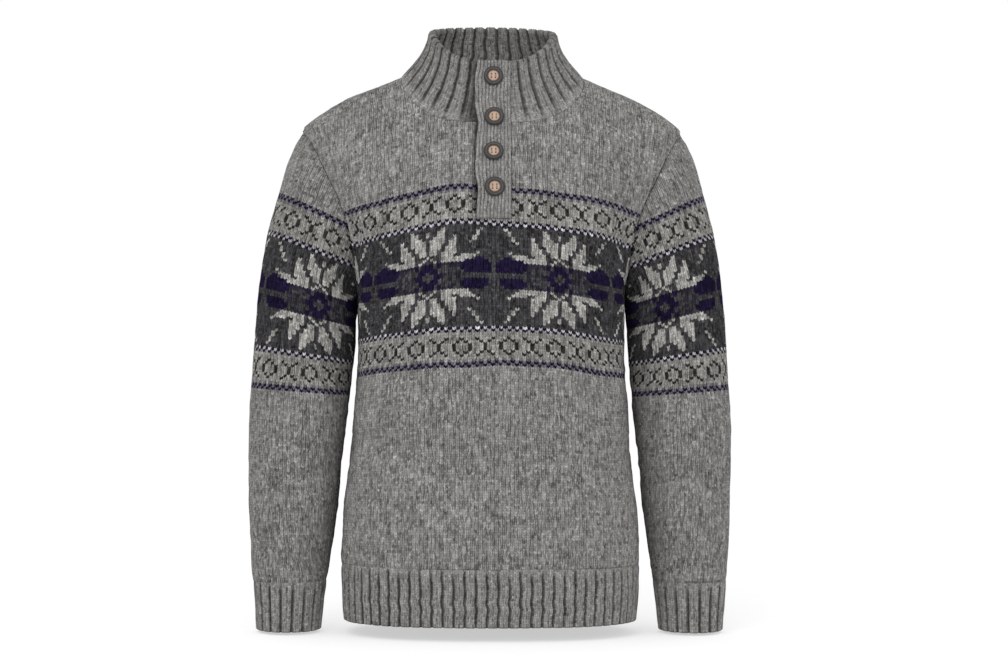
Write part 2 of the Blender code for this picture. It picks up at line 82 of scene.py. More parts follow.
CAMERA_DISTANCE = 2.6
CAMERA_AZIMUTH = math.radians(1.5)
AIM = (0.0165, 0.0, -0.331)
CAMERA_Z = -0.387
bpy.ops.object.camera_add(
    location=(
        AIM[0] - CAMERA_DISTANCE * math.sin(CAMERA_AZIMUTH),
        -CAMERA_DISTANCE * math.cos(CAMERA_AZIMUTH),
        CAMERA_Z,
    ),
    rotation=(
        math.radians(90) + math.atan2(AIM[2] - CAMERA_Z, CAMERA_DISTANCE),
        math.radians(-0.25),
        -CAMERA_AZIMUTH,
    ),
)
bpy.context.scene.camera = bpy.context.object
bpy.context.object.data.lens = 72.4
bpy.context.object.data.sensor_width = 36
bpy.context.scene.view_settings.view_transform = "Standard"

# ---------------------------------------------------------------------------------------------
# Front and back: two panels of plain two-ply wool in stockinette stitch, knitted flat from the
# ribbed welt up, with the star band worked in as colour work, and sewn at sides and shoulders.
# Each stitch is modelled as two slanting legs, so the wales stand up and the rows are V-shaped.

MM = 0.001  # the tables are in millimetres, as in the solids
WALL = 3.0
SECTION_POWER = 2.5  # 2 is an ellipse, more is squarer
WELT_TOP_Z = -620.0
HEM_Z = -690.0
SEAM_GAP = 0.3  # between two pieces that are sewn together
FRONT, BACK = -1, 1
NECK_DROP = {FRONT: 67.0, BACK: 8.0}
NECK_HALF = 117.0  # from the middle to where the shoulder seams meet the collar
OPENING_HALF = 17.5  # half the width of the placket's opening

# z, edge_x, front_edge_y, back_edge_y, front_depth, back_depth
BODY_LEVELS = np.array([
    (-690, 186, 0, 0, 117, 112), (-655, 188, 0, 0, 119, 113), (-620, 188.5, 0, 0, 121, 113),
    (-559, 187, 0, 0, 120, 109), (-488, 179, 0, 0, 119, 105), (-417, 173, 0, 0, 122, 106),
    (-345, 169.5, 0, 0, 126, 110), (-285, 170.5, 0, 0, 129, 116), (-275, 171, 11, 13, 129, 116),
    (-250, 173, 27, 32, 129, 118), (-220, 177, 40, 47, 127, 120), (-190, 183, 48, 56, 124, 121),
    (-165, 192, 51, 57, 121, 121), (-136, 206, 50, 54, 116, 118), (-105, 221, 42, 44, 106, 110),
    (-85, 232, 27, 28, 97, 104), (-69, 241.5, 0, 0, 89, 98), (-61, 234, 0, 0, 85, 95),
    (-46, 214, 0, 0, 77, 88), (-30, 186, 0, 0, 68, 80), (-15, 151, 0, 0, 58, 71),
    (0, 117, 0, 0, 45, 60),
])
BODY_COLUMNS = {"edge_x": 1, "front_edge": 2, "back_edge": 3, "front_depth": 4, "back_depth": 5}

# The soft folds: side, from (x, z) to (end_x, end_z), half width, depth
FOLDS = [
    (-1, 168, -214, 118, -266, 15, 6.0), (-1, -170, -210, -124, -258, 14, 5.0),
    (-1, 148, -318, 136, -432, 16, 4.0), (-1, -150, -306, -141, -398, 15, 3.5),
    (-1, 166, -486, 92, -508, 17, 3.0), (-1, -168, -462, -84, -494, 16, 3.5),
    (1, 158, -222, 92, -284, 17, 6.0), (1, -160, -230, -98, -278, 16, 6.5),
    (1, 4, -318, -3, -452, 30, 6.0), (1, 152, -404, 58, -446, 18, 4.5),
    (1, -150, -388, -64, -436, 17, 4.0), (1, 150, -512, 78, -530, 16, 3.5),
    (-1, 184, -268, 238, -222, 14, 5.0), (-1, -184, -262, -242, -226, 14, 5.5),
    (-1, 186, -376, 266, -398, 14, 5.0), (-1, -188, -392, -260, -372, 14, 4.5),
    (-1, 204, -520, 286, -498, 14, 4.0), (-1, -206, -500, -280, -526, 14, 4.0),
    (-1, 214, -604, 296, -612, 12, 3.0), (-1, -216, -612, -294, -600, 12, 3.5),
    (1, 186, -272, 244, -236, 14, 5.5), (1, -186, -266, -240, -240, 14, 5.0),
    (1, 200, -420, 290, -396, 16, 5.0), (1, -202, -402, -288, -424, 16, 5.0),
    (1, 212, -560, 290, -574, 14, 3.5), (1, -210, -572, -292, -556, 14, 3.5),
]
FOLD_FADE = 30.0  # a fold fades out over this distance from the side seams

STITCH_WIDTH = 4.82
ROW_HEIGHT = 3.23
BAND_ROWS = 68
ROWS_BELOW_BAND = 77
# How far each line of a stitch stands out: its middle, a leg, the edge of the wale, a leg
WALE_RELIEF = np.array([-0.5, 0.42, -1.15, 0.42])
WALE_PAINTED_SHADE = np.array([0.76, 1.12, 0.56, 1.12])  # painted shade in the gaps between strands, painted highlight on the legs
WALE_SHIFT = np.array([0, 1, 2, 1])  # quarter rows by which the legs slant up to the edge
SEAM_SINK = 0.35  # how far an edge is drawn down by its seam
HALF_STITCHES = 60  # more than lie between the middle and the edge of any panel


def smooth(stations, values, at):
    """Values between stations on a curve that never overshoots them."""
    order = np.argsort(stations)
    x = np.array(stations, float)[order]
    y = np.array(values, float)[order]
    steep = np.diff(y) / np.diff(x)
    slope = np.zeros(len(x))
    slope[0], slope[-1] = steep[0], steep[-1]
    same_way = steep[:-1] * steep[1:] > 0
    both = np.where(same_way, steep[:-1] + steep[1:], 1.0)
    slope[1:-1] = np.where(same_way, 2 * steep[:-1] * steep[1:] / both, 0.0)
    at = np.clip(np.asarray(at, float), x[0], x[-1])
    k = np.clip(np.searchsorted(x, at) - 1, 0, len(x) - 2)
    width = x[k + 1] - x[k]
    t = (at - x[k]) / width
    start = (1 + 2 * t) * (1 - t) ** 2 * y[k] + t * (1 - t) ** 2 * width * slope[k]
    end = t * t * (3 - 2 * t) * y[k + 1] + t * t * (t - 1) * width * slope[k + 1]
    return start + end


def body_column(name, z):
    return smooth(BODY_LEVELS[:, 0], BODY_LEVELS[:, BODY_COLUMNS[name]], z)


def section(z, side):
    """The depth of the body's rounded section at z, and the share of its width in the panel."""
    name = "front" if side == FRONT else "back"
    depth = body_column(name + "_depth", z)
    edge = body_column(name + "_edge", z)
    return depth, (1 - (edge / depth) ** SECTION_POWER) ** (1 / SECTION_POWER)


def body_y(x, z, side):
    depth, share = section(z, side)
    inside = np.clip(np.abs(x) * share / body_column("edge_x", z), 0, 1)
    return side * depth * (1 - inside**SECTION_POWER) ** (1 / SECTION_POWER)


def unit(vectors):
    return vectors / np.maximum(np.linalg.norm(vectors, axis=-1, keepdims=True), 1e-9)


def rounded(angle):
    """How far out the body's rounded section reaches, as a share, at an angle from its middle."""
    return np.sign(angle) * np.abs(np.sin(angle)) ** (2 / SECTION_POWER)


def body_normal(points, side):
    """Which way the body's rounded form faces at points on it."""

    def level(x, y, z):
        depth, share = section(z, side)
        across = np.abs(x) * share / body_column("edge_x", z)
        return across**SECTION_POWER + (np.abs(y) / depth) ** SECTION_POWER

    x, y, z = points[..., 0], points[..., 1], points[..., 2]
    step = 0.5
    return unit(np.stack([
        level(x + step, y, z) - level(x - step, y, z),
        level(x, y + step, z) - level(x, y - step, z),
        level(x, y, z + step) - level(x, y, z - step),
    ], axis=-1))


def fold_depth(points):
    """How far each point is pressed in by the soft folds."""
    total = np.zeros(points.shape[:-1])
    for side, x, z, end_x, end_z, half_width, depth in FOLDS:
        run = np.array([end_x - x, end_z - z], float)
        start = points[..., (0, 2)] - (x, z)
        along = np.clip((start @ run) / (run @ run), 0, 1)
        away = np.linalg.norm(start - along[..., None] * run, axis=-1)
        fade = np.clip(side * points[..., 1] / FOLD_FADE, 0, 1)
        total += depth * fade * 0.5 ** ((away / half_width) ** 2)
    return total[..., None]


def band_heights(x, side):
    """Where the middles of the lower and upper zigzag lie: they droop towards the sides, wave a
    little, and the front's is lifted beside the placket where the button band pulls on it."""
    out = (np.abs(x) / 175) ** 2
    wave = 0.9 * np.sin(x / 29) + 0.6 * np.sin(x / 12.5 + 1)
    lift = 5 * np.exp(-(((x + 52) / 40) ** 2)) if side == FRONT else 0
    return -368 - 16 * out + wave, -155 - 23 * out + lift - 0.7 * wave


def neck_curve(side, count):
    """The neckline's seam on one half: points from the middle out, as x and z."""
    turn = np.linspace(0, 1, count) * math.pi / 2
    return OPENING_HALF + (NECK_HALF - OPENING_HALF) * rounded(turn), -NECK_DROP[side] * np.cos(turn)


def neckline(x, side):
    """The height of the neckline's seam at x, and far above it beyond the neck."""
    return np.where(x > NECK_HALF, 500.0, np.interp(x, *neck_curve(side, 400)))


def panel_chart_lines(side, hand, quarter_rows):
    """Each quarter row of a panel as a line of points from the middle out to its edge: where
    they lie, how far along the row, and how high above the neckline."""
    reference = np.linspace(0, 250, 126)
    heights = np.linspace(WELT_TOP_Z + SEAM_GAP, 0, 500)
    x, z = np.meshgrid(reference, heights)
    y = body_y(np.minimum(x, body_column("edge_x", z)), z, side)
    steps = np.hypot(np.diff(y, axis=0), np.diff(z, axis=0))
    length = np.vstack([np.zeros(len(reference)), np.cumsum(steps, axis=0)])
    low, high = band_heights(reference * hand, side)
    rows = quarter_rows / 4
    # The panel's lower edge, the middles of the two zigzags, and a row far above the shoulders
    pins = np.array([0, ROWS_BELOW_BAND + 1, ROWS_BELOW_BAND + BAND_ROWS - 1, 400])
    table = np.empty((len(rows), len(reference)))
    for k in range(len(reference)):
        at_low = np.interp(low[k], heights, length[:, k])
        at_high = np.interp(high[k], heights, length[:, k])
        top = at_high + (pins[3] - pins[2]) * ROW_HEIGHT
        path = np.interp(rows, pins, [0, at_low, at_high, top])
        table[:, k] = np.interp(path, length[:, k], heights)
    share = np.linspace(0, 1, 200)
    z = np.repeat(table[:, :1], len(share), axis=1)

    def out_to_edge(z):
        edge_angle = np.arcsin(section(z, side)[1] ** (SECTION_POWER / 2))
        return body_column("edge_x", z) * rounded(share * edge_angle) / rounded(edge_angle)

    for _ in range(14):
        x = out_to_edge(z)
        z = 0.5 * z + 0.5 * np.array([np.interp(x[q], reference, table[q]) for q in range(len(rows))])
    x = out_to_edge(z)
    y = body_y(x, z, side)
    y = np.where(side * y < SEAM_GAP / 2, side * SEAM_GAP / 2, y)
    points = np.stack([x, y, z], axis=-1)
    steps = np.linalg.norm(np.diff(points, axis=1), axis=-1)
    along = np.concatenate([np.zeros((len(rows), 1)), np.cumsum(steps, axis=1)], axis=1)
    return points, along, z - neckline(x, side)


def at_share(line, along, wanted):
    return np.stack([np.interp(wanted, along, line[:, k]) for k in range(line.shape[1])], axis=-1)


def crossing(along, field):
    """How far along a row its field last falls through zero, or 0 where it never does."""
    above = np.nonzero(field > 0)[0]
    if not len(above):
        return 0.0
    k = above[-1]
    if k == len(field) - 1:
        return along[-1]
    t = field[k] / (field[k] - field[k + 1])
    return along[k] + t * (along[k + 1] - along[k])


def knit_half(lines, along, field, normals, rows, columns):
    """One half of a panel, from its middle line out: the points and normals of every stitch
    line in every row, which of them have been drawn in to the panel's edge, and how far each
    is from the seam at the row's end."""
    reach = along[:, -1]
    start = np.array([crossing(along[q], field[q]) for q in range(len(lines))])
    data = np.concatenate([lines, normals], axis=-1)
    wanted = columns * STITCH_WIDTH / 4
    kinds = columns % 4
    # Where each stitch line meets the neckline, going up it
    meets = np.full(len(columns), np.inf)
    rising = np.array([np.interp(wanted, along[q], field[q]) for q in range(len(lines))])
    for k in range(len(columns)):
        above = np.nonzero((rising[1:, k] > 0) & (rising[:-1, k] <= 0))[0]
        if len(above):
            q = above[0]
            meets[k] = q + rising[q, k] / (rising[q, k] - rising[q + 1, k])
    # Near the middle the edge runs along the rows, and further out it runs across them
    slope = np.gradient(start)
    split = start[np.argmax((start > OPENING_HALF) & (slope < STITCH_WIDTH / 4))] if start.max() else 0
    found = np.empty((rows, len(columns), 6))
    drawn = np.zeros((rows, len(columns)), bool)
    to_seam = np.maximum(reach[: 4 * rows : 4, None] - wanted, 0)
    for i in range(rows):
        for kind in range(4):
            mine = np.nonzero(kinds == kind)[0]
            level = 4 * i
            q = level + (WALE_SHIFT[kind] if i else 0)
            q = min(q, len(lines) - 1)
            s = wanted[mine]
            out = s >= min(reach[q], reach[level]) - 0.3
            over = q > meets[mine]
            over_by_row = (s <= start[q] + 0.3) & (s > split)
            here = at_share(data[q], along[q], s)
            here[out] = data[level, -1]
            rowwise = over_by_row & ~out
            if rowwise.any():
                here[rowwise] = at_share(data[level], along[level], np.array([start[level]]))
            columnwise = over & (s <= split)
            for k in np.nonzero(columnwise)[0]:
                low = int(meets[mine[k]])
                t = meets[mine[k]] - low
                ends = [at_share(data[p], along[p], s[k : k + 1])[0] for p in (low, low + 1)]
                here[k] = (1 - t) * ends[0] + t * ends[1]
            found[i, mine] = here
            drawn[i, mine] = out | rowwise | columnwise
    return found, drawn, to_seam


def settled(base, normals, to_seam, seed):
    """The cloth as it hangs: pressed in by the folds, with wales that wander a little, except
    where a seam holds it."""
    held = 1 - np.exp(-((to_seam / 16) ** 2))[..., None]
    base = base - normals * fold_depth(base) * held
    wander = soft_noise(seed, *to_seam.shape, 3.5, 5) + soft_noise(seed + 9, *to_seam.shape, 1.6, 3)
    return base + unit(np.gradient(base, axis=1)) * 0.5 * wander[..., None] * held


def cloth_height(columns, drawn, to_seam, seed):
    """How far each stitch line stands out: its wale's relief, uneven as hand-washed wool is,
    soft swells, and a groove with small puckers along the sewn edge."""
    shape = drawn.shape
    height = WALE_RELIEF[columns % 4] * (1 + 0.3 * soft_noise(seed, *shape, 5, 8))
    height += 0.7 * soft_noise(seed + 1, *shape, 16, 40) + 0.2 * soft_noise(seed + 2, *shape, 3, 5)
    height += 0.6 * soft_noise(seed + 3, *shape, 3, 60) * np.exp(-to_seam / 9)
    height += 0.45 * np.exp(-(((to_seam - 5.5) / 3) ** 2)) - 0.8 * np.exp(-((to_seam / 2.8) ** 2))
    height[drawn] = -SEAM_SINK
    # The lowest rows go down to meet the ribs
    height[:3] -= np.array([[0.7], [0.35], [0.1]])
    return height


def joined(left, right):
    """Two halves that share their middle line, as one grid."""
    return np.concatenate([left[:, :0:-1], right], axis=1)


def new_piece(name, points, polygons):
    mesh = bpy.data.meshes.new(name)
    mesh.from_pydata((points * MM).tolist(), [], polygons)
    piece = bpy.data.objects.new(name, mesh)
    bpy.context.scene.collection.objects.link(piece)
    return piece


def dye(mesh, colours, stitches):
    """Give each corner of a mesh its yarn's colour, and its place in the stitches."""
    colours = np.c_[colours, np.ones(len(colours))]
    mesh.attributes.new("yarn", "FLOAT_COLOR", "CORNER").data.foreach_set("color", colours.ravel())
    mesh.uv_layers.new(name="stitches").data.foreach_set("uv", stitches.ravel())
    mesh.shade_smooth()


def merged(points):
    """Number the points of a grid so that those in one place share a number."""
    flat = np.round(points.reshape(-1, 3), 3)
    _, first, number = np.unique(flat, axis=0, return_index=True, return_inverse=True)
    return first[number].reshape(points.shape[:2])


def knit_mesh(name, base, normals, drawn, height, columns, paint, slit=None, outward=1):
    """A shell of knitting. The outer sheet has every stitch line, the inner one is coarser, and
    a rim joins them round every edge."""
    rows, count = base.shape[:2]
    number = merged(base)
    i, j = np.meshgrid(np.arange(rows - 1), np.arange(count - 1), indexing="ij")
    i, j = i.ravel(), j.ravel()
    k = j + 1
    quads = np.stack([number[i, j], number[i, k], number[i + 1, k], number[i + 1, j]], axis=1)
    grid = np.stack([i * count + j, i * count + k, (i + 1) * count + k, (i + 1) * count + j], axis=1)
    inside = ~(drawn[i, j] & drawn[i, k] & drawn[i + 1, k] & drawn[i + 1, j])
    if slit is not None:
        inside &= ~slit(i, columns[j], columns[k])
    doubles = np.stack([quads[:, a] == quads[:, (a + 1) % 4] for a in range(4)], axis=1)
    inside &= (4 - doubles.sum(axis=1)) >= 3
    quads, grid, doubles, i, j = quads[inside], grid[inside], doubles[inside], i[inside], j[inside]
    flat_points = (base + normals * height[..., None]).reshape(-1, 3)
    flat_inner = (base - normals * WALL).reshape(-1, 3)
    faces, corners = [], []
    for quad, cell, double in zip(quads.tolist(), grid.tolist(), doubles.tolist()):
        keep = [a for a in range(4) if not double[a]]
        faces.append([quad[a] for a in keep])
        corners.append([cell[a] for a in keep])
    # The borders of the outer sheet
    starts = np.array([a for f in faces for a in f])
    ends = np.array([a for f in faces for a in f[1:] + f[:1]])
    size = rows * count
    forward = starts.astype(np.int64) * size + ends
    backward = ends.astype(np.int64) * size + starts
    border = ~np.isin(forward, backward)
    rim = list(zip(starts[border].tolist(), ends[border].tolist()))
    kept = np.zeros(size, bool)
    kept[starts[border]] = True
    coarse_rows = np.unique(np.r_[np.arange(0, rows, 4), rows - 1])
    coarse_columns = np.nonzero(columns % 4 == 2)[0]
    kept[number[np.ix_(coarse_rows, coarse_columns)].ravel()] = True
    # The inner sheet: each block of stitches becomes one face
    block_of_row = np.searchsorted(coarse_rows, np.arange(rows), side="right")
    block_of_column = np.searchsorted(coarse_columns, np.arange(count), side="right")
    block = block_of_row[i] * (count + 1) + block_of_column[j]
    blocks = {}
    for face, b in zip(faces, block.tolist()):
        blocks.setdefault(b, []).append(face)
    inner = []
    for members in blocks.values():
        edges = {(f[a], f[(a + 1) % len(f)]) for f in members for a in range(len(f))}
        after = {}
        for a, b in edges:
            if (b, a) not in edges:
                after.setdefault(a, []).append(b)
        while after:
            first = next(iter(after))
            loop, here = [], first
            while here in after:
                loop.append(here)
                following = after[here].pop()
                if not after[here]:
                    del after[here]
                here = following
            loop = [a for a in loop if kept[a]]
            if len(set(loop)) >= 3:
                inner.append(loop)
    used = np.unique(starts)
    place = np.full(size, -1)
    place[used] = np.arange(len(used))
    inner_used = np.unique([a for f in inner for a in f] + [a for e in rim for a in e])
    inner_place = np.full(size, -1)
    inner_place[inner_used] = len(used) + np.arange(len(inner_used))
    points = np.concatenate([flat_points[used], flat_inner[inner_used]])
    polygons = [[place[a] for a in f] for f in faces]
    polygons += [[inner_place[a] for a in reversed(f)] for f in inner]
    polygons += [[place[b], place[a], inner_place[a], inner_place[b]] for a, b in rim]
    if outward < 0:
        polygons = [f[::-1] for f in polygons]
        corners = [c[::-1] for c in corners]
    piece = new_piece(name, points, [[int(a) for a in f] for f in polygons])
    mesh = piece.data
    bm = bmesh.new()
    bm.from_mesh(mesh)
    bmesh.ops.holes_fill(bm, edges=[e for e in bm.edges if e.is_boundary])
    bm.to_mesh(mesh)
    bm.free()
    # The faces' colours: the chart's outside, with painted shade in the gaps between strands and
    # painted highlight on the legs, and plain inside
    stitch = np.floor((columns[j] + 0.5) / 4 + 0.5).astype(int)
    shade = paint(i, stitch, (columns[j] % 4) >= 2)
    sizes = [f.loop_total for f in mesh.polygons]
    corner_grid = np.array([a for c in corners for a in c])
    # Painted shade in the gaps between strands, uneven from place to place, and painted highlight on
    # the legs
    strand_painted_shade = WALE_PAINTED_SHADE[columns[corner_grid % count] % 4]
    uneven = 0.6 * soft_noise(5, rows, count, 1.8, 2.2).ravel()[corner_grid]
    strand_painted_shade = np.where(strand_painted_shade < 1, np.clip(strand_painted_shade * (1 + uneven), 0.3, 1.0), strand_painted_shade)
    colours = np.concatenate([
        np.repeat(shade, sizes[: len(faces)], axis=0) * strand_painted_shade[:, None],
        np.tile(shade.mean(axis=0), (sum(sizes[len(faces) :]), 1)),
    ])
    stitches = np.zeros((sum(sizes), 2))
    stitches[: len(corner_grid), 0] = columns[corner_grid % count] / 4
    stitches[: len(corner_grid), 1] = corner_grid // count
    dye(mesh, colours, stitches)
    return piece


# The colour chart: one letter for each yarn
YARNS = {
    "g": (0.203, 0.199, 0.192),  # heather grey
    "l": (0.222, 0.217, 0.203),  # the band's paler ground
    "q": (0.115, 0.108, 0.122),  # grey with purple fluff over it
    "w": (0.29, 0.285, 0.27),  # light grey
    "s": (0.37, 0.36, 0.37),  # near white
    "k": (0.02, 0.021, 0.02),  # black-green
    "c": (0.04, 0.04, 0.042),  # charcoal
    "p": (0.0105, 0.007, 0.026),  # dark purple
    "m": (0.024, 0.021, 0.033),  # charcoal with purple stranded behind it
}
YARN_LETTERS = "".join(YARNS)
RING_MOTIF = ["..#..", ".#.#.", "#...#", "#...#", "#...#", ".#.#.", "..#.."]
CROSS_MOTIF = ["#...#", ".#.#.", "..#..", "..#..", "..#..", ".#.#.", "#...#"]
# Light and purple stitches of a quarter star: distance from its axis, first and last row from
# its middle
STAR_LIGHT = [
    (1, 8, 13), (2, 8, 14), (3, 10, 16), (4, 12, 17), (4, 5, 8), (5, 5, 10), (6, 6, 12),
    (7, 8, 14), (6, 5, 5), (7, 5, 6), (8, 5, 6), (9, 5, 7), (10, 5, 7), (11, 6, 7), (12, 7, 7),
    (13, 8, 8), (0, 15, 16), (0, 7, 7), (1, 6, 6), (2, 5, 5), (11, 12, 12), (12, 13, 13),
    (12, 14, 14), (13, 15, 15), (13, 16, 16), (14, 17, 17),
]
STAR_PURPLE = [
    (0, 2, 4), (1, 1, 4), (2, 0, 2), (3, 0, 0), (3, 3, 4), (4, 0, 0), (4, 4, 4), (5, 4, 4), (6, 3, 4),
    (8, 0, 1),
]
STAR_PURPLE_ABOVE = STAR_PURPLE + [
    (6, 0, 1), (7, 3, 4), (8, 3, 4), (9, 2, 4), (10, 1, 5), (11, 1, 5), (12, 1, 5), (13, 1, 6),
    (14, 1, 6), (15, 1, 5), (16, 1, 4),
]
STAR_PURPLE_BELOW = STAR_PURPLE + [
    (6, 1, 1), (7, 3, 3), (9, 2, 3), (10, 1, 4), (11, 1, 4), (12, 1, 4), (13, 1, 4), (14, 1, 4),
    (15, 1, 3),
]
STAR_PERIOD = 34
STAR_MIDDLE = 34  # the first row of the stars' upper half
MOTIF_PERIOD = 12


def chart():
    """The band's chart as letters: rows up from its lower edge, over six stars' width."""
    wide = STAR_PERIOD * 6
    grid = np.full((BAND_ROWS, wide), "l")
    column = np.arange(wide)
    for low in (0, BAND_ROWS - 2):
        for k in range(2):
            grid[low + k] = np.where((column + k) % 2 == 0, "p", "q")
    # Purple fluff on the rows beside the zigzags
    grid[2] = np.where(column % 2 == 1, "q", "l")
    grid[BAND_ROWS - 3] = np.where(column % 2 == 0, "q", "l")
    for low in (4, 57):
        for k in range(7):
            motif = RING_MOTIF[k] + "." + CROSS_MOTIF[k] + "."
            # The two halves above are parted by the placket, and don't quite match across it
            start = np.where(column < wide // 2, 3, 0) if low > 50 else np.full(wide, 2)
            marks = np.array([motif[k] == "#" for k in (column - start) % MOTIF_PERIOD])
            grid[low + k, marks] = "k"
    # Below and above the stars: a row of single stitches, a lace row, and the first dark row
    for edge, lace, star in ((13, 14, 15), (54, 53, 52)):
        grid[edge, column % 2 == 0] = "p"
        grid[lace] = np.where(column % 2 == 0, "s", "p")
        grid[star] = "c"
    away = np.abs(column % STAR_PERIOD - STAR_PERIOD // 2)
    for row in range(16, 52):
        upper = row >= STAR_MIDDLE
        rise = row - STAR_MIDDLE if upper else STAR_MIDDLE - 1 - row
        grid[row] = "c"
        for d, first, last in STAR_LIGHT:
            if first <= rise <= last:
                grid[row, away == d] = "w"
        for d, first, last in STAR_PURPLE_ABOVE if upper else STAR_PURPLE_BELOW:
            if first <= rise <= last:
                # Between a star's eye and its side leaves the purple is faint
                grid[row, away == d] = "m" if 3 < d < 9 else "p"
    return grid


BAND_CHART = chart()


def heather(seed, rows, columns, spread=0.25):
    """The uneven grey of mixed fibres: short streaks up the wales, and by stitch and leg."""
    rng = np.random.default_rng(seed)
    noise = rng.normal(size=(2, rows + 4, columns))
    wale = sum(noise[:, k : k + rows] for k in range(4)) / 2
    stitch = rng.normal(size=(rows, columns))
    legs = rng.normal(size=(2, rows, columns))
    return 1 + spread * (0.5 * wale + 0.55 * stitch + 0.6 * legs)


def soft_noise(seed, rows, columns, row_cell, column_cell):
    """Smooth bumps of about one size: noise on a coarse grid, with the cells blended."""
    rng = np.random.default_rng(seed)
    coarse = rng.normal(size=(int(rows / row_cell) + 3, int(columns / column_cell) + 3))

    def blend(grid, count, cell):
        at = np.arange(count) / cell
        k = at.astype(int)
        t = (at - k)[:, None]
        t = t * t * (3 - 2 * t)
        return grid[k] * (1 - t) + grid[k + 1] * t

    return blend(blend(coarse, rows, row_cell).T, columns, column_cell).T


def band_paint(seed, rows, low_row, phase=0, painted_shadow=None):
    """A painter that gives each face its yarn by the chart, its place in the heather, and where one is
    given a painted shadow.
    """
    mottle = heather(seed, rows + 1, 2 * HALF_STITCHES + 3)

    def paint(row, stitch, leg):
        letters = np.full(len(row), "g")
        level = row - low_row
        on_band = (level >= 0) & (level < BAND_ROWS)
        column = (stitch + phase) % BAND_CHART.shape[1]
        letters[on_band] = BAND_CHART[level[on_band], column[on_band]]
        colours = np.array([YARNS[a] for a in YARN_LETTERS])
        place = np.array([YARN_LETTERS.index(a) for a in letters.tolist()])
        column = np.clip(stitch + HALF_STITCHES, 0, 2 * HALF_STITCHES + 2)
        spread = mottle[leg.astype(int), np.clip(row, 0, rows), column]
        spread = np.clip(spread, 0.45, 1.8) ** np.where(letters == "c", 1.4, 1.0)
        # Painted shadow, where one is given
        if painted_shadow is not None:
            spread = spread * np.clip(painted_shadow(row, stitch, leg), 0.3, 1.1)
        return colours[place] * spread[:, None]

    return paint


class Value:
    """A socket of a finish's nodes, so that shader maths reads as plain maths."""

    def __init__(self, finish, socket):
        self.finish, self.socket = finish, socket

    def maths(self, operation, *others):
        return self.finish.node("Math", {"operation": operation}, self, *others)

    def __add__(self, other):
        return self.maths("ADD", other)

    def __sub__(self, other):
        return self.maths("SUBTRACT", other)

    def __rsub__(self, other):
        return self.finish.node("Math", {"operation": "SUBTRACT"}, other, self)

    def __mul__(self, other):
        return self.maths("MULTIPLY", other)

    __radd__, __rmul__ = __add__, __mul__

    def __pow__(self, other):
        return self.maths("POWER", other)


class Finish:
    """A material: node() adds any node, and what differs over the surface feeds the shader."""

    def __init__(self, name, **constants):
        self.material = bpy.data.materials.new(name)
        self.material.use_nodes = True
        self.nodes = self.material.node_tree.nodes
        self.links = self.material.node_tree.links
        self.shader = self.nodes["Principled BSDF"]
        for socket, value in constants.items():
            self.shader.inputs[socket.replace("_", " ")].default_value = value

    def node(self, kind, settings, *values, out=0, **named):
        made = self.nodes.new("ShaderNode" + kind)
        for key, value in settings.items():
            setattr(made, key, value)
        for key, value in [*enumerate(values), *named.items()]:
            if isinstance(value, Value):
                self.links.new(value.socket, made.inputs[key])
            elif value is not None:
                made.inputs[key].default_value = value
        return Value(self, made.outputs[out])

    def feed(self, socket, value):
        self.links.new(value.socket, self.shader.inputs[socket])


def knit_finish(name, row_bump=0.6, fuzz=0.35):
    """Woollen knitting: dull, a little hairy, each leg of a stitch a rounded strand, with painted shade
    between the rows.
    """
    wool = Finish(name, Roughness=0.95)
    wool.shader.inputs["Specular IOR Level"].default_value = 0.05
    yarn = wool.node("Attribute", {"attribute_name": "yarn"}, out="Color")
    place = wool.node("TexCoord", {}, out="Object")
    fibre = wool.node("TexNoise", {}, Vector=place, Scale=1100.0, Detail=3.0, Roughness=0.6)
    fleck = wool.node("TexNoise", {}, Vector=place, Scale=500.0, Detail=2.0, Roughness=0.5)
    chart_place = wool.node("UVMap", {"uv_map": "stitches"})
    across = wool.node("SeparateXYZ", {}, chart_place, out=0)
    up = wool.node("SeparateXYZ", {}, chart_place, out=1)
    in_row = (up.maths("FRACT") - 0.5).maths("ABSOLUTE") * 2
    in_leg = ((across * 2).maths("FRACT") - 0.5).maths("ABSOLUTE") * 2
    # The yarn's colour with fibre flecks, and painted shade in the grooves between rows
    mottle = (0.12 + 0.85 * fibre + 1.05 * fleck) * (1.05 - 0.22 * in_row**3)
    wool.feed("Base Color", wool.node("VectorMath", {"operation": "SCALE"}, yarn, Scale=mottle))
    strand = (1 - 0.6 * in_row**3) * (1 - 0.5 * in_leg**2)
    rough = row_bump * strand + fuzz * fibre + 0.12 * fleck
    wool.feed("Normal", wool.node("Bump", {}, Strength=0.85, Distance=0.0011, Height=rough))
    return wool.material


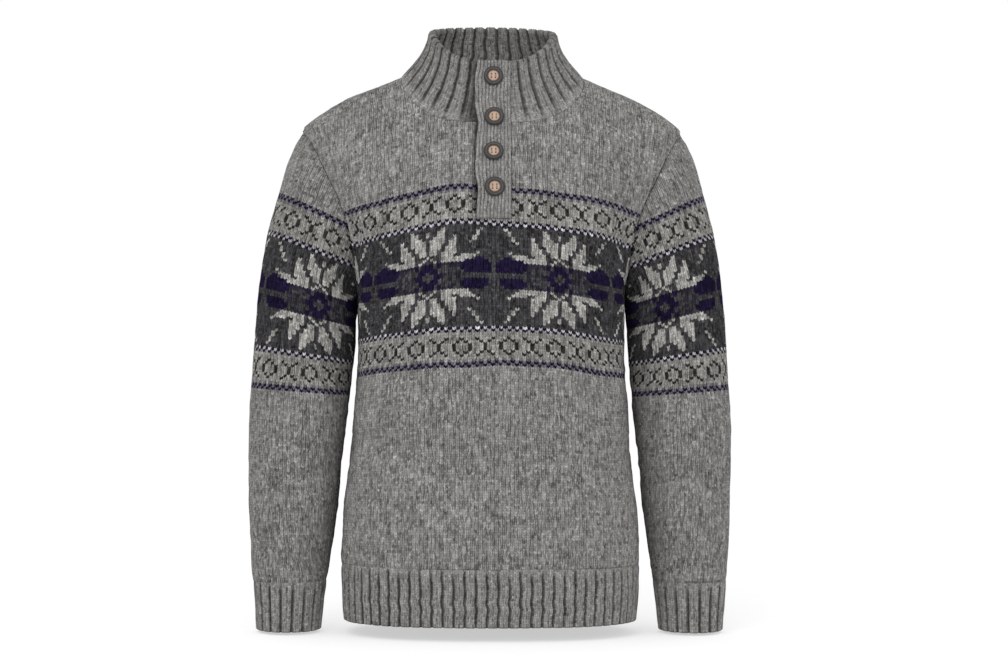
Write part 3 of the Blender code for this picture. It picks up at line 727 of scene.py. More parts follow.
knit_wool = knit_finish("knit_wool")
PANEL_ROWS = 226  # more than any panel has
SLIT_BOTTOM_Z = -176.8
SLIT_HALF = 14  # quarter stitches on each side of the middle
GROOVE_X, GROOVE_WIDTH, GROOVE_DEPTH = -23.5, 2.6, 2.6  # beside the button band's loose edge
for side, name in ((FRONT, "front_panel"), (BACK, "back_panel")):
    node = name.split("_")[0]
    quarter_rows = np.arange(0, 4 * PANEL_ROWS)
    halves = {}
    # The front isn't the same on both hands, because of the placket's pull
    for hand in (-1, 1):
        lines, along, above = panel_chart_lines(side, hand, quarter_rows)
        line_normals = body_normal(lines, side)
        line_normals[:, 0, 0] = 0
        reach = along[:, -1]
        empty = [crossing(along[q], above[q]) >= reach[q] - 0.2 for q in range(len(lines))]
        rows = int(np.argmax(empty) // 4 + 2)
        count = int(reach[: 4 * rows].max() / STITCH_WIDTH * 4) + 3
        halves[hand] = (lines, along, above, line_normals, rows, count)
    rows, count = (max(h[k] for h in halves.values()) for k in (4, 5))
    knitted = {h: knit_half(*halves[h][:4], rows, np.arange(0, count)) for h in halves}
    both = joined(knitted[-1][0] * (-1, 1, 1, -1, 1, 1), knitted[1][0])
    drawn, to_seam = (joined(knitted[-1][k], knitted[1][k]) for k in (1, 2))
    columns = np.r_[-np.arange(count - 1, 0, -1), np.arange(0, count)]
    base, normals = both[..., :3], unit(both[..., 3:])
    base = settled(base, normals, to_seam, 61 + side)
    if side == FRONT:
        z = base[..., 2]
        below_neck = np.clip((-70 - z) / 6, 0, 1) * np.clip((z + 188) / 6, 0, 1)
        groove = np.exp(-(((base[..., 0] - GROOVE_X) / GROOVE_WIDTH) ** 2))
        base[..., 1] += GROOVE_DEPTH * groove * below_neck
    height = cloth_height(columns, drawn, to_seam, 71 + 9 * side)
    slit_row = int(np.argmax(base[:, len(columns) // 2, 2] > SLIT_BOTTOM_Z)) // 4 * 4

    def band_painted_shadow(row, stitch, leg):
        # The slit beside the band's loose edge gets a painted shadow of the band: its stitches are
        # darkened
        painted_darkness = np.where(stitch == -4, 0.3, np.where(stitch == -5, np.where(leg, 0.8, 0.4), 1.0))
        return np.where(row >= slit_row - 2, painted_darkness, 1.0)

    def placket_opening(row, first, second):
        return (row >= slit_row) & (first >= -SLIT_HALF) & (second <= SLIT_HALF)

    panel = knit_mesh(
        name, base, normals, drawn, height, columns,
        band_paint(11 + side, rows, ROWS_BELOW_BAND, painted_shadow=band_painted_shadow if side == FRONT else None),
        slit=placket_opening if side == FRONT else None, outward=-side,
    )
    panel.data.materials.append(knit_wool)
    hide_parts(node)
    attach(panel, "root")


# ---------------------------------------------------------------------------------------------
# Sleeves: knitted tubes of the same wool, set into the armholes and closed by a seam under the
# arm. Their rows lie square to the arm, so the star band runs level round each of them.

# outer_x, outer_z, inner_x, inner_z, front_y, back_y, roundness
SLEEVE_RINGS = np.array([
    (241.5, -69, 170.5, -285, 51, 57, 0.0), (253, -90, 171.6, -288, 53, 58, 0.2),
    (264, -117, 172.2, -292, 55, 59, 0.4), (274, -152, 172.8, -297, 57, 60, 0.6),
    (283, -188, 173.2, -303, 59, 60, 0.75), (291, -230, 173.6, -312, 60, 60, 0.9),
    (297, -277, 174.4, -328, 60, 59, 1.0), (301.5, -330, 176.2, -354, 60, 57, 1.0),
    (304, -375, 179, -387, 60, 55, 1.0), (306.5, -425, 183.5, -428, 60, 52, 1.0),
    (307.5, -490, 190.5, -490, 59, 46, 1.0), (307, -545, 196, -545, 58, 40, 1.0),
    (305, -600, 203, -600, 55, 33, 1.0), (302, -643, 209, -643, 52, 27, 1.0),
])
# Heights at the outer edge: the wrist, the band's lower and upper zigzag, and the shoulder
SLEEVE_MARKS = [-643, -396, -153, -69]
SEAM_TUCK = 0.3
ROWS_BELOW_SLEEVE_BAND = 76
SLEEVE_ROWS_ABOVE = 25
STAR_AXIS_COLUMN = 24  # stitches from the outer edge to the star in front


def ring_heights(rings, at):
    """The rings' table at a share of the way down the outer edge."""
    steps = np.hypot(np.diff(rings[:, 0]), np.diff(rings[:, 1]))
    down = np.r_[0, np.cumsum(steps)] / steps.sum()
    return np.stack([smooth(down, rings[:, k], at) for k in range(rings.shape[1])], axis=-1)


def armhole_shape(angles):
    """How far the armhole bends off a straight slant, and its share of the greatest depth."""
    first = SLEEVE_RINGS[0]
    along = (1 - np.cos(angles)) / 2
    z = first[1] + (first[3] - first[1]) * along
    bend = body_column("edge_x", z) - (first[0] + (first[2] - first[0]) * along)
    front, back = body_column("front_edge", z) / first[4], body_column("back_edge", z) / first[5]
    return bend, np.where(angles <= math.pi, front, back)


def tube(rings, shares, angles):
    """Points of a sleeve or cuff, ring by ring; angle 0 is the outer end, and the front is
    next."""
    table = ring_heights(rings, shares)[:, None, :]
    along = (1 - np.cos(angles)) / 2
    bend, armhole_swell = armhole_shape(angles)
    blunt = 1 - table[..., 6]
    x = table[..., 0] + (table[..., 2] - table[..., 0]) * along + blunt * bend
    z = table[..., 1] + (table[..., 3] - table[..., 1]) * along
    depth = np.where(angles <= math.pi, -table[..., 4], table[..., 5])
    swell = blunt * armhole_swell + table[..., 6] * np.abs(np.sin(angles))
    return np.stack([x, depth * swell, z], axis=-1)


def tube_normals(points):
    """Outward normals of a tube's grid of points, whose columns go once round it."""
    around = np.roll(points, -1, axis=1) - np.roll(points, 1, axis=1)
    normals = unit(np.cross(around, np.gradient(points, axis=0)))
    away = points - points.mean(axis=1, keepdims=True)
    return normals * np.where((normals * away).sum(-1, keepdims=True) < 0, -1, 1)


def row_slope(outer_z):
    """How steeply a row falls towards the body, by its height at the outer edge."""
    return np.interp(outer_z, SLEEVE_MARKS, [0, 0.077, 0.46, 0.5])


def sleeve_half(front, quarter_rows):
    """One half of a sleeve round from its outer edge, in the same form as half a panel."""
    angles = np.linspace(0, 2 * math.pi, 289)[:-1]
    shares = np.linspace(0, 1, 420)
    grid = tube(SLEEVE_RINGS, shares, angles)
    normals = tube_normals(grid)
    outer = grid[:, 0]
    height = grid[..., 2].copy()
    for _ in range(25):
        outer_x = np.interp(height, outer[::-1, 2], outer[::-1, 0])
        height = grid[..., 2] + row_slope(height) * (outer_x - grid[..., 0])
    pins = [0, ROWS_BELOW_SLEEVE_BAND + 1, ROWS_BELOW_SLEEVE_BAND + BAND_ROWS - 1,
            ROWS_BELOW_SLEEVE_BAND + BAND_ROWS + SLEEVE_ROWS_ABOVE]
    wanted = np.interp(quarter_rows / 4, pins, SLEEVE_MARKS)
    half = np.arange(0, 145) if front else np.r_[0, np.arange(287, 143, -1)]
    lines = np.empty((len(wanted), len(half), 6))
    inside = np.empty((len(wanted), len(half)))
    for n, k in enumerate(half):
        order = np.maximum.accumulate(height[::-1, k])
        data = np.concatenate([grid[::-1, k], normals[::-1, k]], axis=1)
        lines[:, n] = at_share(data, order, wanted)
        inside[:, n] = wanted - order[-1]
    steps = np.linalg.norm(np.diff(lines[..., :3], axis=1), axis=-1)
    # Past the armhole the row runs on along the seam, which is where its stitches end
    along = np.concatenate([np.zeros((len(wanted), 1)), np.cumsum(steps, axis=1)], axis=1)
    reach = np.empty(len(wanted))
    for q in range(len(wanted)):
        out = np.nonzero(inside[q] > 0)[0]
        if len(out):
            k = max(out[0], 1)
            before, after = inside[q, k - 1], inside[q, k]
            t = np.clip(-before / (after - before), 0, 1) if after > before else 0
            reach[q] = along[q, k - 1] + t * (along[q, k] - along[q, k - 1])
            edge = lines[q, k - 1] * (1 - t) + lines[q, k] * t
            lines[q, k:] = edge
            along[q, k:] = reach[q]
        else:
            reach[q] = along[q, -1]
    return lines[..., :3], np.maximum.accumulate(along, axis=1), lines[..., 3:]


sleeve_rows = ROWS_BELOW_SLEEVE_BAND + BAND_ROWS + SLEEVE_ROWS_ABOVE + 1
quarter_rows = np.arange(0, 4 * sleeve_rows + 3)
halves = {}
for front in (True, False):
    halves[front] = sleeve_half(front, quarter_rows)
count = int(max(along[:, -1].max() for _, along, _ in halves.values()) / STITCH_WIDTH * 4) + 3
for front, (lines, along, line_normals) in halves.items():
    never = np.full(along.shape, -1.0)
    knitted[front] = knit_half(lines, along, never, line_normals, sleeve_rows, np.arange(0, count))
both, drawn, to_seam = (joined(knitted[False][k], knitted[True][k]) for k in range(3))
columns = np.r_[-np.arange(count - 1, 0, -1), np.arange(0, count)]

for side, name in ((1, "left_sleeve_knit"), (-1, "right_sleeve_knit")):
    base, normals = both[..., :3] * (side, 1, 1), unit(both[..., 3:] * (side, 1, 1))
    base = settled(base, normals, to_seam, 64 + side)
    height = cloth_height(columns, drawn, to_seam, 131 + 9 * side)
    # The armhole seam: the sleeve's edge is turned in under the body's
    off_body = np.abs(np.abs(base[..., 0]) - body_column("edge_x", base[..., 2]))
    base[..., 0] -= side * SEAM_TUCK * np.clip(1 - off_body / 6, 0, 1) * (base[..., 2] > -285)
    sleeve = knit_mesh(
        name, base, normals, drawn, height, columns,
        band_paint(31 + side, sleeve_rows, ROWS_BELOW_SLEEVE_BAND,
                   phase=STAR_PERIOD // 2 - STAR_AXIS_COLUMN),
        outward=side,
    )
    sleeve.data.materials.append(knit_wool)
    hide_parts("sleeve_left" if side > 0 else "sleeve_right")
    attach(sleeve, "root")

# ---------------------------------------------------------------------------------------------
# Welts and cuffs: the ribbed ends of body and sleeves, in the same grey wool. Each rib is two
# wales of plain stitches that stand up, and one sunken wale of purl between them.

CUFF_RINGS = np.array([
    (302, -643, 209, -643, 52, 27, 1.0), (299, -674, 213, -674, 50, 21, 1.0),
    (297, -704, 216, -704, 49, 17, 1.0),
])
WELT_RIBS = 37
WELT_LAP = 0.6  # the welt goes in this far under the panel's lowest row
CUFF_RIBS = 18
# One rib's lines: where each lies, how high it stands, how far up it slants in quarter rows,
# its place in the stitches, and its painted shade: dark in the gutters, a painted highlight on the
# ridges
BROAD_RIB = np.array([
    (0.0, -2.1, 1, 0.0, 0.24), (0.13, -0.9, 2, 0.5, 0.5), (0.24, 0.8, 1, 0.75, 1.2),
    (0.345, 0.4, 0, 1.0, 0.98), (0.45, 0.95, 1, 1.25, 1.25), (0.55, 0.1, 2, 1.5, 0.8),
    (0.65, 0.95, 1, 1.75, 1.25), (0.755, 0.4, 0, 2.0, 0.98), (0.86, 0.8, 1, 2.25, 1.1),
    (0.96, -0.8, 2, 2.5, 0.42),
])


def rib_shell(name, outer, inner, uv, shade, mottle, closed, rise):
    """A ribbed wall: an outer and an inner sheet of the same lines. rise says how round its
    lower and upper edge are, shade how light each line is, with the ribs' painted shade and highlight
    and the painted shadow on sunk cloth, and mottle the yarn face by face."""
    rows, count = outer.shape[:2]
    spans = count if closed else count - 1
    sheets = [outer]
    # Each end is closed by three lines in a half turn from the outer sheet to the inner one
    for row, beside, full in ((-1, -2, rise[1]), (0, 1, rise[0])):
        away = unit(outer[row] - outer[beside])
        middle, half = (outer[row] + inner[row]) / 2, (outer[row] - inner[row]) / 2
        turns = np.radians((45, 90, 135)) * (1 if row else -1)
        if not row:
            turns += math.pi
        round_edge = away * np.linalg.norm(half, axis=-1, keepdims=True) * full
        sheets.append([middle + half * math.cos(t) + round_edge * abs(math.sin(t)) for t in turns])
        if row:
            sheets.append(inner[::-1])
    sheets = np.concatenate(sheets)
    levels = len(sheets)
    i, j = np.meshgrid(np.arange(levels), np.arange(spans), indexing="ij")
    i, j = i.ravel(), j.ravel()
    k, up = (j + 1) % count, (i + 1) % levels
    polygons = np.stack([i * count + j, i * count + k, up * count + k, up * count + j], axis=1).tolist()
    if not closed:
        # The two cut sides
        for j in (0, count - 1):
            for row in range(rows - 1):
                a, b = row * count + j, (row + 1) * count + j
                c, d = (2 * rows + 2 - row) * count + j, (2 * rows + 1 - row) * count + j
                polygons.append([a, b, d, c])
            polygons.append([(rows - 1 + k) * count + j for k in range(5)])
            polygons.append([(2 * rows + 2 + k) % levels * count + j for k in range(5)])
    piece = new_piece(name, sheets.reshape(-1, 3), polygons)
    sizes = np.array([len(p) for p in polygons])
    loops = np.concatenate([np.array(p) for p in polygons])
    level, line = loops // count, loops % count
    row_of = np.clip(np.where(level <= rows, level, 2 * rows + 2 - level), 0, rows - 1)
    coordinates = np.stack([uv[line], row_of + 0.0], axis=1)
    if closed:
        # The last span of a closed row runs on instead of going back to its start
        last = np.repeat(np.arange(len(polygons)) % spans == spans - 1, sizes) & (line == 0)
        coordinates[last, 0] = uv[-1] + 0.5
    first = np.concatenate([[0], np.cumsum(sizes)[:-1]])
    face_colour = mottle[row_of[first], line[first]]
    dye(piece.data, np.repeat(face_colour, sizes, axis=0) * shade[row_of, line][:, None], coordinates)
    bm = bmesh.new()
    bm.from_mesh(piece.data)
    bmesh.ops.recalc_face_normals(bm, faces=bm.faces)
    bm.to_mesh(piece.data)
    bm.free()
    return piece


def rib_grid(rib, ribs, rows, closed):
    """The lines of a row of ribs: their shares of the width, row by row, and what each is."""
    shares, relief, shift, stitch, line_painted_shade = (np.tile(rib[:, k], ribs) for k in range(5))
    turn = np.repeat(np.arange(ribs), len(rib))
    shares, stitch = (turn + shares) / ribs, stitch + turn * (rib[-1, 3] + 0.5)
    if not closed:
        shares, relief, shift = np.r_[shares, 1.0], np.r_[relief, relief[0]], np.r_[shift, shift[0]]
        stitch, line_painted_shade = np.r_[stitch, stitch[-1] + 0.5], np.r_[line_painted_shade, line_painted_shade[0]]
    levels = np.arange(rows + 1)[:, None] + shift[None, :] / 4
    levels[0], levels[-1] = 0, rows
    return np.broadcast_to(shares, levels.shape), np.clip(levels / rows, 0, 1), relief, stitch, line_painted_shade


rib_wool = knit_finish("rib_wool", row_bump=0.75)


def evenly(points, at):
    """For shares of the length of a line of points, the values of at there."""
    run = np.r_[0, np.cumsum(np.linalg.norm(np.diff(points, axis=0), axis=-1))]
    return lambda shares: np.interp(shares, run / run[-1], at)


def welt_surface(side):
    turn = np.linspace(-math.pi / 2, math.pi / 2, 1441)
    middle_z = (HEM_Z + WELT_TOP_Z) / 2
    x = rounded(turn) * body_column("edge_x", middle_z)
    angle_of = evenly(np.stack([x, body_y(x, middle_z, side)], axis=-1), turn)

    def surface(shares, levels):
        z = HEM_Z + (WELT_TOP_Z + WELT_LAP - HEM_Z) * levels
        x = rounded(angle_of(shares)) * body_column("edge_x", z)
        y = side * np.maximum(np.abs(body_y(x, z, side)), SEAM_GAP / 2)
        points = np.stack([x, y, z], axis=-1)
        normals = body_normal(points, side)
        normals[..., 2] = 0
        normals[:, (0, -1), 1] = 0
        return points, unit(normals)

    return surface


def cuff_surface(shares, levels):
    angles = shares * 2 * math.pi
    at = 1 - levels
    points = np.empty(shares.shape + (3,))
    normals = np.empty(shares.shape + (3,))
    fine = np.linspace(0, 1, 60)
    for k in range(shares.shape[1]):
        column = tube(CUFF_RINGS, fine, angles[:1, k])[:, 0]
        beside = tube(CUFF_RINGS, fine, angles[:1, k] + 0.02)[:, 0]
        points[:, k] = at_share(column, fine, at[:, k])
        across = at_share(beside, fine, at[:, k]) - points[:, k]
        normals[:, k] = unit(np.stack([across[:, 1], -across[:, 0], 0 * across[:, 0]], axis=-1))
    centre = points.mean(axis=1, keepdims=True)
    away = ((points - centre) * normals).sum(-1, keepdims=True)
    return points, normals * np.where(away < 0, -1, 1)


def ribbed_piece(name, node, surface, ribs, rows, closed, seed, side=1, inner_scale=0.35,
                 rib=BROAD_RIB, wall=WALL + 1.0, rise=(0.6, 0.7), blend=None,
                 sink=None, tint=0.83, swell=0.0, wobble=0.0015):
    """Knits a ribbed piece over a surface. blend says how far the ribs are formed, from 0 to 1,
    and sink how far the cloth lies under the surface, both by shares and levels; sunk cloth is painted
    darker as shadow. The upper edge is thicker by swell."""
    shares, levels, relief, stitch, line_painted_shade = rib_grid(rib, ribs, rows, closed)
    sway = wobble * soft_noise(seed + 300, rows + 1, 2, 3, 1)[:, :1]
    points, normals = surface(shares + sway * np.sin(math.pi * shares), levels)
    formed = np.ones(levels.shape) if blend is None else blend(shares, levels)
    relief = relief * formed * (1 + 0.2 * soft_noise(seed + 100, *levels.shape, 4, 7))
    relief += 0.3 * soft_noise(seed + 200, *levels.shape, 9, 23)
    lower = 0.0 if sink is None else sink(shares, levels)
    outer = points + normals * (relief - lower)[..., None]
    wall = wall + swell * np.clip((levels - 0.72) / 0.28, 0, 1) ** 2
    inner = points - normals * (wall + lower - inner_scale * relief)[..., None]
    # Painted shade in the rib gutters and painted highlight on the ridges, as far as the ribs are
    # formed; tint darkens the formed ribs too
    shade = (1 - (1 - line_painted_shade) * formed) * (1 - (1 - tint) * formed)
    # Painted shadow: cloth sunk under the surface, such as the collar's end under the button band, is
    # darkened
    shade = shade * (1 - 0.14 * np.clip(lower - 0.3, 0, 5))
    grain = heather(seed, rows + 1, len(line_painted_shade) // 2 + 2, 0.24)
    line = np.arange(len(line_painted_shade))
    grain = np.clip(grain[line % 2, :, line // 2].T, 0.45, 1.8)
    mottle = grain[..., None] * np.array(YARNS["g"])
    mirror = np.array([side, 1, 1])
    piece = rib_shell(name, outer * mirror, inner * mirror, stitch, shade, mottle, closed, rise)
    piece.data.materials.append(rib_wool)
    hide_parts(node)
    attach(piece, "root")
    return piece


def risen_ribs(shares, levels):
    """The ribs rise out of the plain knitting over the top few rows."""
    return 0.1 + 0.9 * np.clip((1 - levels) / (0.14 + 0.06 * np.sin(shares * 97)), 0, 1)


for name, node, above, width, seed, surface in (
    ("front_welt_ribs", "front_welt", "front_panel", 0.511, 51, welt_surface(FRONT)),
    ("back_welt_ribs", "back_welt", "back_panel", 0.499, 52, welt_surface(BACK)),
):
    welt = ribbed_piece(name, node, surface, WELT_RIBS, 22, False, seed, blend=risen_ribs)
for name, node, above, seed, side in (
    ("left_cuff_ribs", "cuff_left", "left_sleeve_knit", 53, 1),
    ("right_cuff_ribs", "cuff_right", "right_sleeve_knit", 54, -1),
):
    cuff = ribbed_piece(name, node, cuff_surface, CUFF_RIBS, 19, True, seed, side=side,
                        blend=risen_ribs)

# ---------------------------------------------------------------------------------------------
# Collar: a stand-up band of the same rib, picked up round the neckline and cast off at its
# upper edge. It is ribbed on both faces, and spreads a little towards its seam.

COLLAR_RIM = np.array([
    (0, 0, -71, 8.5), (30, 41, -62, 16.5), (60, 71, -36, 38), (90, 82, -2, 58),
    (120, 71, 31, 67), (150, 41, 55, 73), (180, 0, 63, 75),
])
COLLAR_FLARE = 1.7
COLLAR_RIBS = 31
COLLAR_START = math.degrees(math.asin(OPENING_HALF / 82))


def neck_seam():
    """The neckline from one side of the opening, round the back, to the other, by angle."""
    halves = []
    for side in (FRONT, BACK):
        x, z = neck_curve(side, 41)
        halves.append(np.stack([x, body_y(x, z, side), z], axis=-1))
    front, back = halves
    turn = np.linspace(COLLAR_START, 90, 41)
    mirror = (-1, 1, 1)
    angles = np.r_[turn, (180 - turn)[::-1][1:], (180 + turn)[:-1], (360 - turn)[::-1]]
    return angles, np.concatenate([front, back[::-1][1:], (back * mirror)[:-1], (front * mirror)[::-1]])


NECK_ANGLES, NECK_POINTS = neck_seam()


def collar_points(angle, height):
    low = at_share(NECK_POINTS, NECK_ANGLES, angle)
    folded = np.where(angle > 180, 360 - angle, angle)
    x, y, z = (smooth(COLLAR_RIM[:, 0], COLLAR_RIM[:, k], folded) for k in (1, 2, 3))
    high = np.stack([np.where(angle > 180, -x, x), y, z], axis=-1)
    spread = (1 - (1 - height) ** COLLAR_FLARE)[..., None]
    across = low + (high - low) * spread
    across[..., 2] = low[..., 2] + (high[..., 2] - low[..., 2]) * height
    return across


round_the_neck = np.linspace(COLLAR_START, 360 - COLLAR_START, 1441)
neck_angle_of = evenly(collar_points(round_the_neck, 0.45 + 0 * round_the_neck), round_the_neck)


def collar_surface(shares, levels):
    angle = neck_angle_of(shares)
    levels = 0.96 * levels - 0.003
    points = collar_points(angle, levels)
    step = 0.6
    ahead, behind = (np.clip(angle + a, COLLAR_START, 360 - COLLAR_START) for a in (step, -step))
    around = collar_points(ahead, levels) - collar_points(behind, levels)
    rise = collar_points(angle, np.minimum(levels + 0.01, 1)) - collar_points(angle, levels - 0.01)
    normals = unit(np.cross(around, rise))
    away = (normals * points * (1, 1, 0)).sum(-1, keepdims=True)
    return points, normals * np.where(away < 0, -1, 1)


def collar_formed(shares, levels):
    """The ribs are flattened where the collar is sewn on, and stand up above it."""
    return 0.12 + 0.88 * np.clip((levels - 0.04) / 0.16, 0, 1)


def collar_tucked(shares, levels):
    """The end that the button band overlaps is drawn in under it, and the sinking also paints it with
    shadow.
    """
    tucked = 5.0 * np.clip((shares - 0.952) / 0.036, 0, 1) ** 1.5
    return tucked + 0.8 * np.clip(1 - levels / 0.06, 0, 1)


collar = ribbed_piece("collar_ribs", "collar", collar_surface, COLLAR_RIBS, 30, False, 55,
                      inner_scale=-0.9, wall=WALL + 1.8, rise=(0.1, 1.0), blend=collar_formed,
                      sink=collar_tucked, tint=0.74, swell=4.0)

# ---------------------------------------------------------------------------------------------
# Placket: a button band in narrow rib, knitted upright and sewn down along its left side, as
# worn, with the other side loose, and a matching band that closes the opening from behind.

BAND_HALF, BAND_LOW, BAND_HIGH = 21.5, -189.0, 11.0
UNDER_HALF, UNDER_LOW, UNDER_HIGH = 20.0, -184.0, 7.5
COLLAR_RIB_HEIGHT = 1.2
# Lines as in BROAD_RIB; the last column is painted shade in the gutters and painted highlight on the
# ridges
NARROW_RIB = np.array([
    (0.0, -0.8, 2, 0.0, 0.55), (0.2, -0.2, 2, 0.5, 0.95), (0.38, 0.4, 1, 0.75, 1.12),
    (0.55, 0.15, 0, 1.0, 0.9), (0.72, 0.4, 1, 1.25, 1.12), (0.9, -0.3, 2, 1.5, 0.7),
])


def front_face(x, z):
    """The outermost cloth near the middle of the front: the panel, then the collar above it."""
    drop, rim_z = NECK_DROP[FRONT], COLLAR_RIM[0, 3]
    below = body_y(x, np.minimum(z, -drop), FRONT)
    height = np.clip((z + drop) / (rim_z + drop), 0, 1)
    spread = 1 - (1 - height) ** COLLAR_FLARE
    rim_y = COLLAR_RIM[0, 2] * np.sqrt(1 - (x / COLLAR_RIM[3, 1]) ** 2)
    return np.stack([x, np.where(z <= -drop, below, below + (rim_y - below) * spread), z], axis=-1)


def band_face(half_width, low, high, offset, loose):
    """A band's outer face, lying on the front or behind it. loose is how far its edge waves."""

    def surface(shares, levels):
        x, z = (2 * shares - 1) * half_width, low + (high - low) * levels
        x = x + loose * (1 - shares) * (1.5 * np.sin(z / 14 + 0.6) + 0.7 * np.sin(z / 6.5))
        points = front_face(x, z)
        rise = front_face(x, z + 1) - front_face(x, z - 1)
        across = front_face(x + 1, z) - front_face(x - 1, z)
        normals = unit(np.cross(across, rise))
        over_ribs = np.clip((z + NECK_DROP[FRONT] + 20) / 20, 0, 1)[..., None]
        # The loose edge lifts and curls a little; the other is sewn down
        sewn = (0.9 + 2.6 * over_ribs[..., 0]) * np.clip((shares - 0.8) / 0.2, 0, 1) ** 1.5
        lift = loose * (1.3 * np.clip(1 - shares / 0.14, 0, 1) - sewn)
        return points + normals * (offset(over_ribs) + lift[..., None]), normals

    return surface


def on_front(over_ribs):
    return 2 * SEAM_GAP + WALL + over_ribs * (COLLAR_RIB_HEIGHT + SEAM_GAP)


def behind_front(over_ribs):
    return -(WALL + 2 * SEAM_GAP + over_ribs * (COLLAR_RIB_HEIGHT + 3 * SEAM_GAP))


button_band_face = band_face(BAND_HALF, BAND_LOW, BAND_HIGH, on_front, 1.0)
under_band_face = band_face(UNDER_HALF, UNDER_LOW, UNDER_HIGH, behind_front, 0.0)
for name, node, surface, ribs, rows, seed, tint, flat in (
    ("button_band_knit", "button_band", button_band_face, 10, 64, 56, 1.0, (0.043, 0.212)),
    ("under_band_knit", "under_band", under_band_face, 9, 61, 57, 0.83, (0.04, 0.203)),
):
    band = ribbed_piece(name, node, surface, ribs, rows, False, seed, rib=NARROW_RIB,
                        wall=WALL - 0.4, rise=(0.8, 0.8), tint=tint, wobble=0.016)

# ---------------------------------------------------------------------------------------------
# Buttons: four turned horn buttons with a dark stepped rim and a paler sunk middle, each sewn on
# through four holes with grey yarn.

BUTTON_HEIGHTS = (-9.0, -63.0, -107.5, -151.5)
BUTTON_RADIUS = 12.3
HOLE_OFFSET, HOLE_RADIUS = 2.5, 1.05


def horn_finish():
    horn = Finish("horn", Roughness=0.5)
    place = horn.node("Attribute", {"attribute_name": "button_place"}, out="Vector")
    radius = horn.node("VectorMath", {"operation": "LENGTH"}, place, out="Value")
    noise = horn.node("TexNoise", {}, Vector=place, Scale=5.0, Detail=4.0, Roughness=0.6)
    grain = horn.node("TexNoise", {}, Vector=place, Scale=22.0, Detail=3.0, Roughness=0.6)
    spot = radius + 0.1 * (noise - 0.5)
    stops = horn.node("ValToRGB", {}, spot)
    ramp = stops.socket.node.color_ramp
    for at, colour in (
        (0.0, (0.46, 0.31, 0.22)), (0.5, (0.36, 0.235, 0.16)), (0.57, (0.06, 0.038, 0.03)),
        (0.64, (0.016, 0.013, 0.012)), (0.76, (0.014, 0.012, 0.0115)), (0.81, (0.1, 0.088, 0.082)),
        (0.86, (0.018, 0.015, 0.0145)), (0.97, (0.012, 0.0105, 0.01)),
    ):
        if at == 0:
            ramp.elements[0].color = (*colour, 1)
        else:
            ramp.elements.new(at).color = (*colour, 1)
    ramp.elements.remove(ramp.elements[-1])
    shade = horn.node("VectorMath", {"operation": "SCALE"}, stops, Scale=0.75 + 0.5 * grain)
    horn.feed("Base Color", shade)
    horn.feed("Roughness", 0.44 + 0.2 * grain)
    horn.feed("Normal", horn.node("Bump", {}, Strength=0.2, Distance=0.0003, Height=grain))
    return horn.material


def select_faces(mesh, chosen):
    bm = bmesh.from_edit_mesh(mesh)
    for face in bm.faces:
        face.select = bool(chosen(face))
    bmesh.update_edit_mesh(mesh)


def turned_button():
    """A disc with a stepped, raised rim, bored with four holes."""
    bpy.ops.object.select_all(action="DESELECT")
    bpy.ops.mesh.primitive_cylinder_add(vertices=64, radius=BUTTON_RADIUS * MM, depth=1.9 * MM,
                                        location=(0, 0, (0.7 + 0.95) * MM))
    button = bpy.context.object
    bpy.ops.object.transform_apply(location=True, rotation=True, scale=True)
    bpy.ops.object.mode_set(mode="EDIT")
    bpy.ops.mesh.select_mode(type="FACE")
    select_faces(button.data, lambda f: f.normal.z > 0.9)
    for inset, rise in ((0.45, 0.0), (0.35, 1.0), (0.9, 0.4), (1.0, -0.05), (0.35, -0.5), (0.5, 0.0),
                        (0.75, -0.95), (0.6, 0.0)):
        bpy.ops.mesh.inset(thickness=inset * MM, depth=0)
        bpy.ops.transform.translate(value=(0, 0, rise * MM))
    select_faces(button.data, lambda f: f.normal.z < -0.9)
    bpy.ops.mesh.inset(thickness=4.0 * MM, depth=0)
    bpy.ops.transform.translate(value=(0, 0, -0.7 * MM))
    bpy.ops.object.mode_set(mode="OBJECT")
    soften = button.modifiers.new("soft_edges", "BEVEL")
    soften.width, soften.segments, soften.limit_method = 0.22 * MM, 2, "ANGLE"
    soften.angle_limit = math.radians(25)
    bpy.ops.object.modifier_apply(modifier="soft_edges")
    for x, y in ((1, 1), (1, -1), (-1, 1), (-1, -1)):
        bpy.ops.mesh.primitive_cylinder_add(vertices=20, radius=HOLE_RADIUS * MM, depth=12 * MM,
                                            location=(x * HOLE_OFFSET * MM, y * HOLE_OFFSET * MM, 0))
        drill = bpy.context.object
        bore = button.modifiers.new("bore", "BOOLEAN")
        bore.object, bore.operation, bore.solver = drill, "DIFFERENCE", "EXACT"
        bpy.ops.object.select_all(action="DESELECT")
        bpy.context.view_layer.objects.active = button
        bpy.ops.object.modifier_apply(modifier="bore")
        bpy.data.objects.remove(drill)
    return button


def stitched_thread():
    """Two loops of grey yarn, each down through a pair of holes, lying on the button's middle."""
    bpy.ops.object.select_all(action="DESELECT")
    loops = []
    for x in (-1, 1):
        for strand in (-0.33, 0.33):
            curve = bpy.data.curves.new("thread", "CURVE")
            curve.dimensions = "3D"
            curve.bevel_depth, curve.bevel_resolution, curve.resolution_u = 0.36 * MM, 2, 5
            line = curve.splines.new("NURBS")
            points = [(-2.45, 0.2), (-2.4, 1.6), (-2.0, 3.0), (0, 3.15), (2.0, 3.0), (2.4, 1.6),
                      (2.45, 0.2)]
            line.points.add(len(points) - 1)
            for point, (y, z) in zip(line.points, points):
                point.co = ((x * HOLE_OFFSET + strand) * MM, y * MM, z * MM, 1)
            line.use_endpoint_u = True
            curve.use_fill_caps = True
            thread = bpy.data.objects.new("thread", curve)
            bpy.context.scene.collection.objects.link(thread)
            thread.select_set(True)
            bpy.context.view_layer.objects.active = thread
            loops.append(thread)
    bpy.ops.object.convert(target="MESH")
    bpy.ops.object.join()
    return bpy.context.object


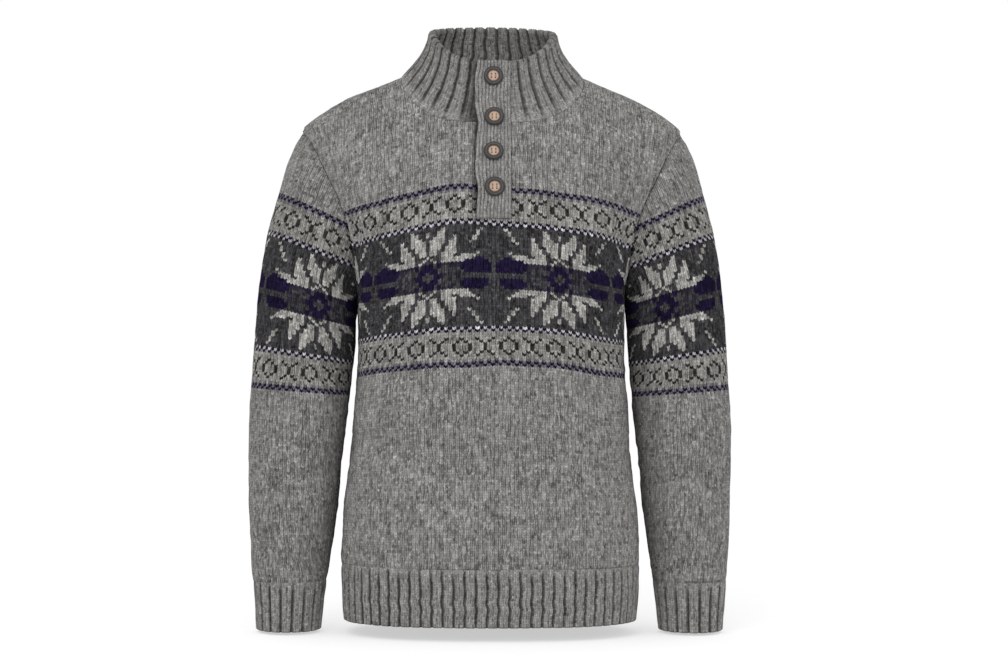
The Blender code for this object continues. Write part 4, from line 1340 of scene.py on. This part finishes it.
def placed_copy(original, name, matrix, finish):
    copy = original.copy()
    copy.data = original.data.copy()
    copy.name = copy.data.name = name
    bpy.context.scene.collection.objects.link(copy)
    if finish is horn:
        place = copy.data.attributes.new("button_place", "FLOAT_VECTOR", "POINT")
        coordinates = np.empty(len(copy.data.vertices) * 3)
        copy.data.vertices.foreach_get("co", coordinates)
        place.data.foreach_set("vector", coordinates / (BUTTON_RADIUS * MM))
    copy.data.transform(matrix)
    copy.data.materials.clear()
    copy.data.materials.append(finish)
    bpy.ops.object.select_all(action="DESELECT")
    copy.select_set(True)
    bpy.context.view_layer.objects.active = copy
    bpy.ops.object.shade_smooth_by_angle(angle=math.radians(40))
    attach(copy, "root")
    return copy


horn = horn_finish()
yarn_thread = Finish("sewing_yarn", Base_Color=(0.2, 0.2, 0.195, 1), Roughness=0.85)
twist = yarn_thread.node("TexNoise", {}, Vector=yarn_thread.node("TexCoord", {}, out="Object"),
                         Scale=1500.0, Detail=2.0)
yarn_thread.feed("Normal", yarn_thread.node("Bump", {}, Strength=0.6, Distance=0.0003, Height=twist))
yarn_thread.feed("Roughness", 0.7 + 0.3 * twist)
button, thread = turned_button(), stitched_thread()
for number, height in enumerate(BUTTON_HEIGHTS, start=1):
    levels = np.array([[(height - BAND_LOW) / (BAND_HIGH - BAND_LOW)]])
    point, normal = button_band_face(np.array([[0.5]]), levels)
    lean = normal[0, 0] * (0, 1, 1)
    lean /= np.linalg.norm(lean)
    # The CAD's button stands 0.45 mm off the band's outer face
    at = point[0, 0] + lean * 1.5 * SEAM_GAP
    matrix = np.eye(4)
    turn = math.atan2(-lean[1], lean[2])
    matrix[1:3, 1:3] = [[math.cos(turn), -math.sin(turn)], [math.sin(turn), math.cos(turn)]]
    matrix[:3, 3] = at * MM
    matrix = Matrix(matrix.tolist())
    disc = placed_copy(button, "horn_button_%d" % number, matrix, horn)
    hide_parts("button_%d" % number)
    placed_copy(thread, "button_thread_%d" % number, matrix, yarn_thread.material)
for original in (button, thread):
    bpy.data.objects.remove(original)
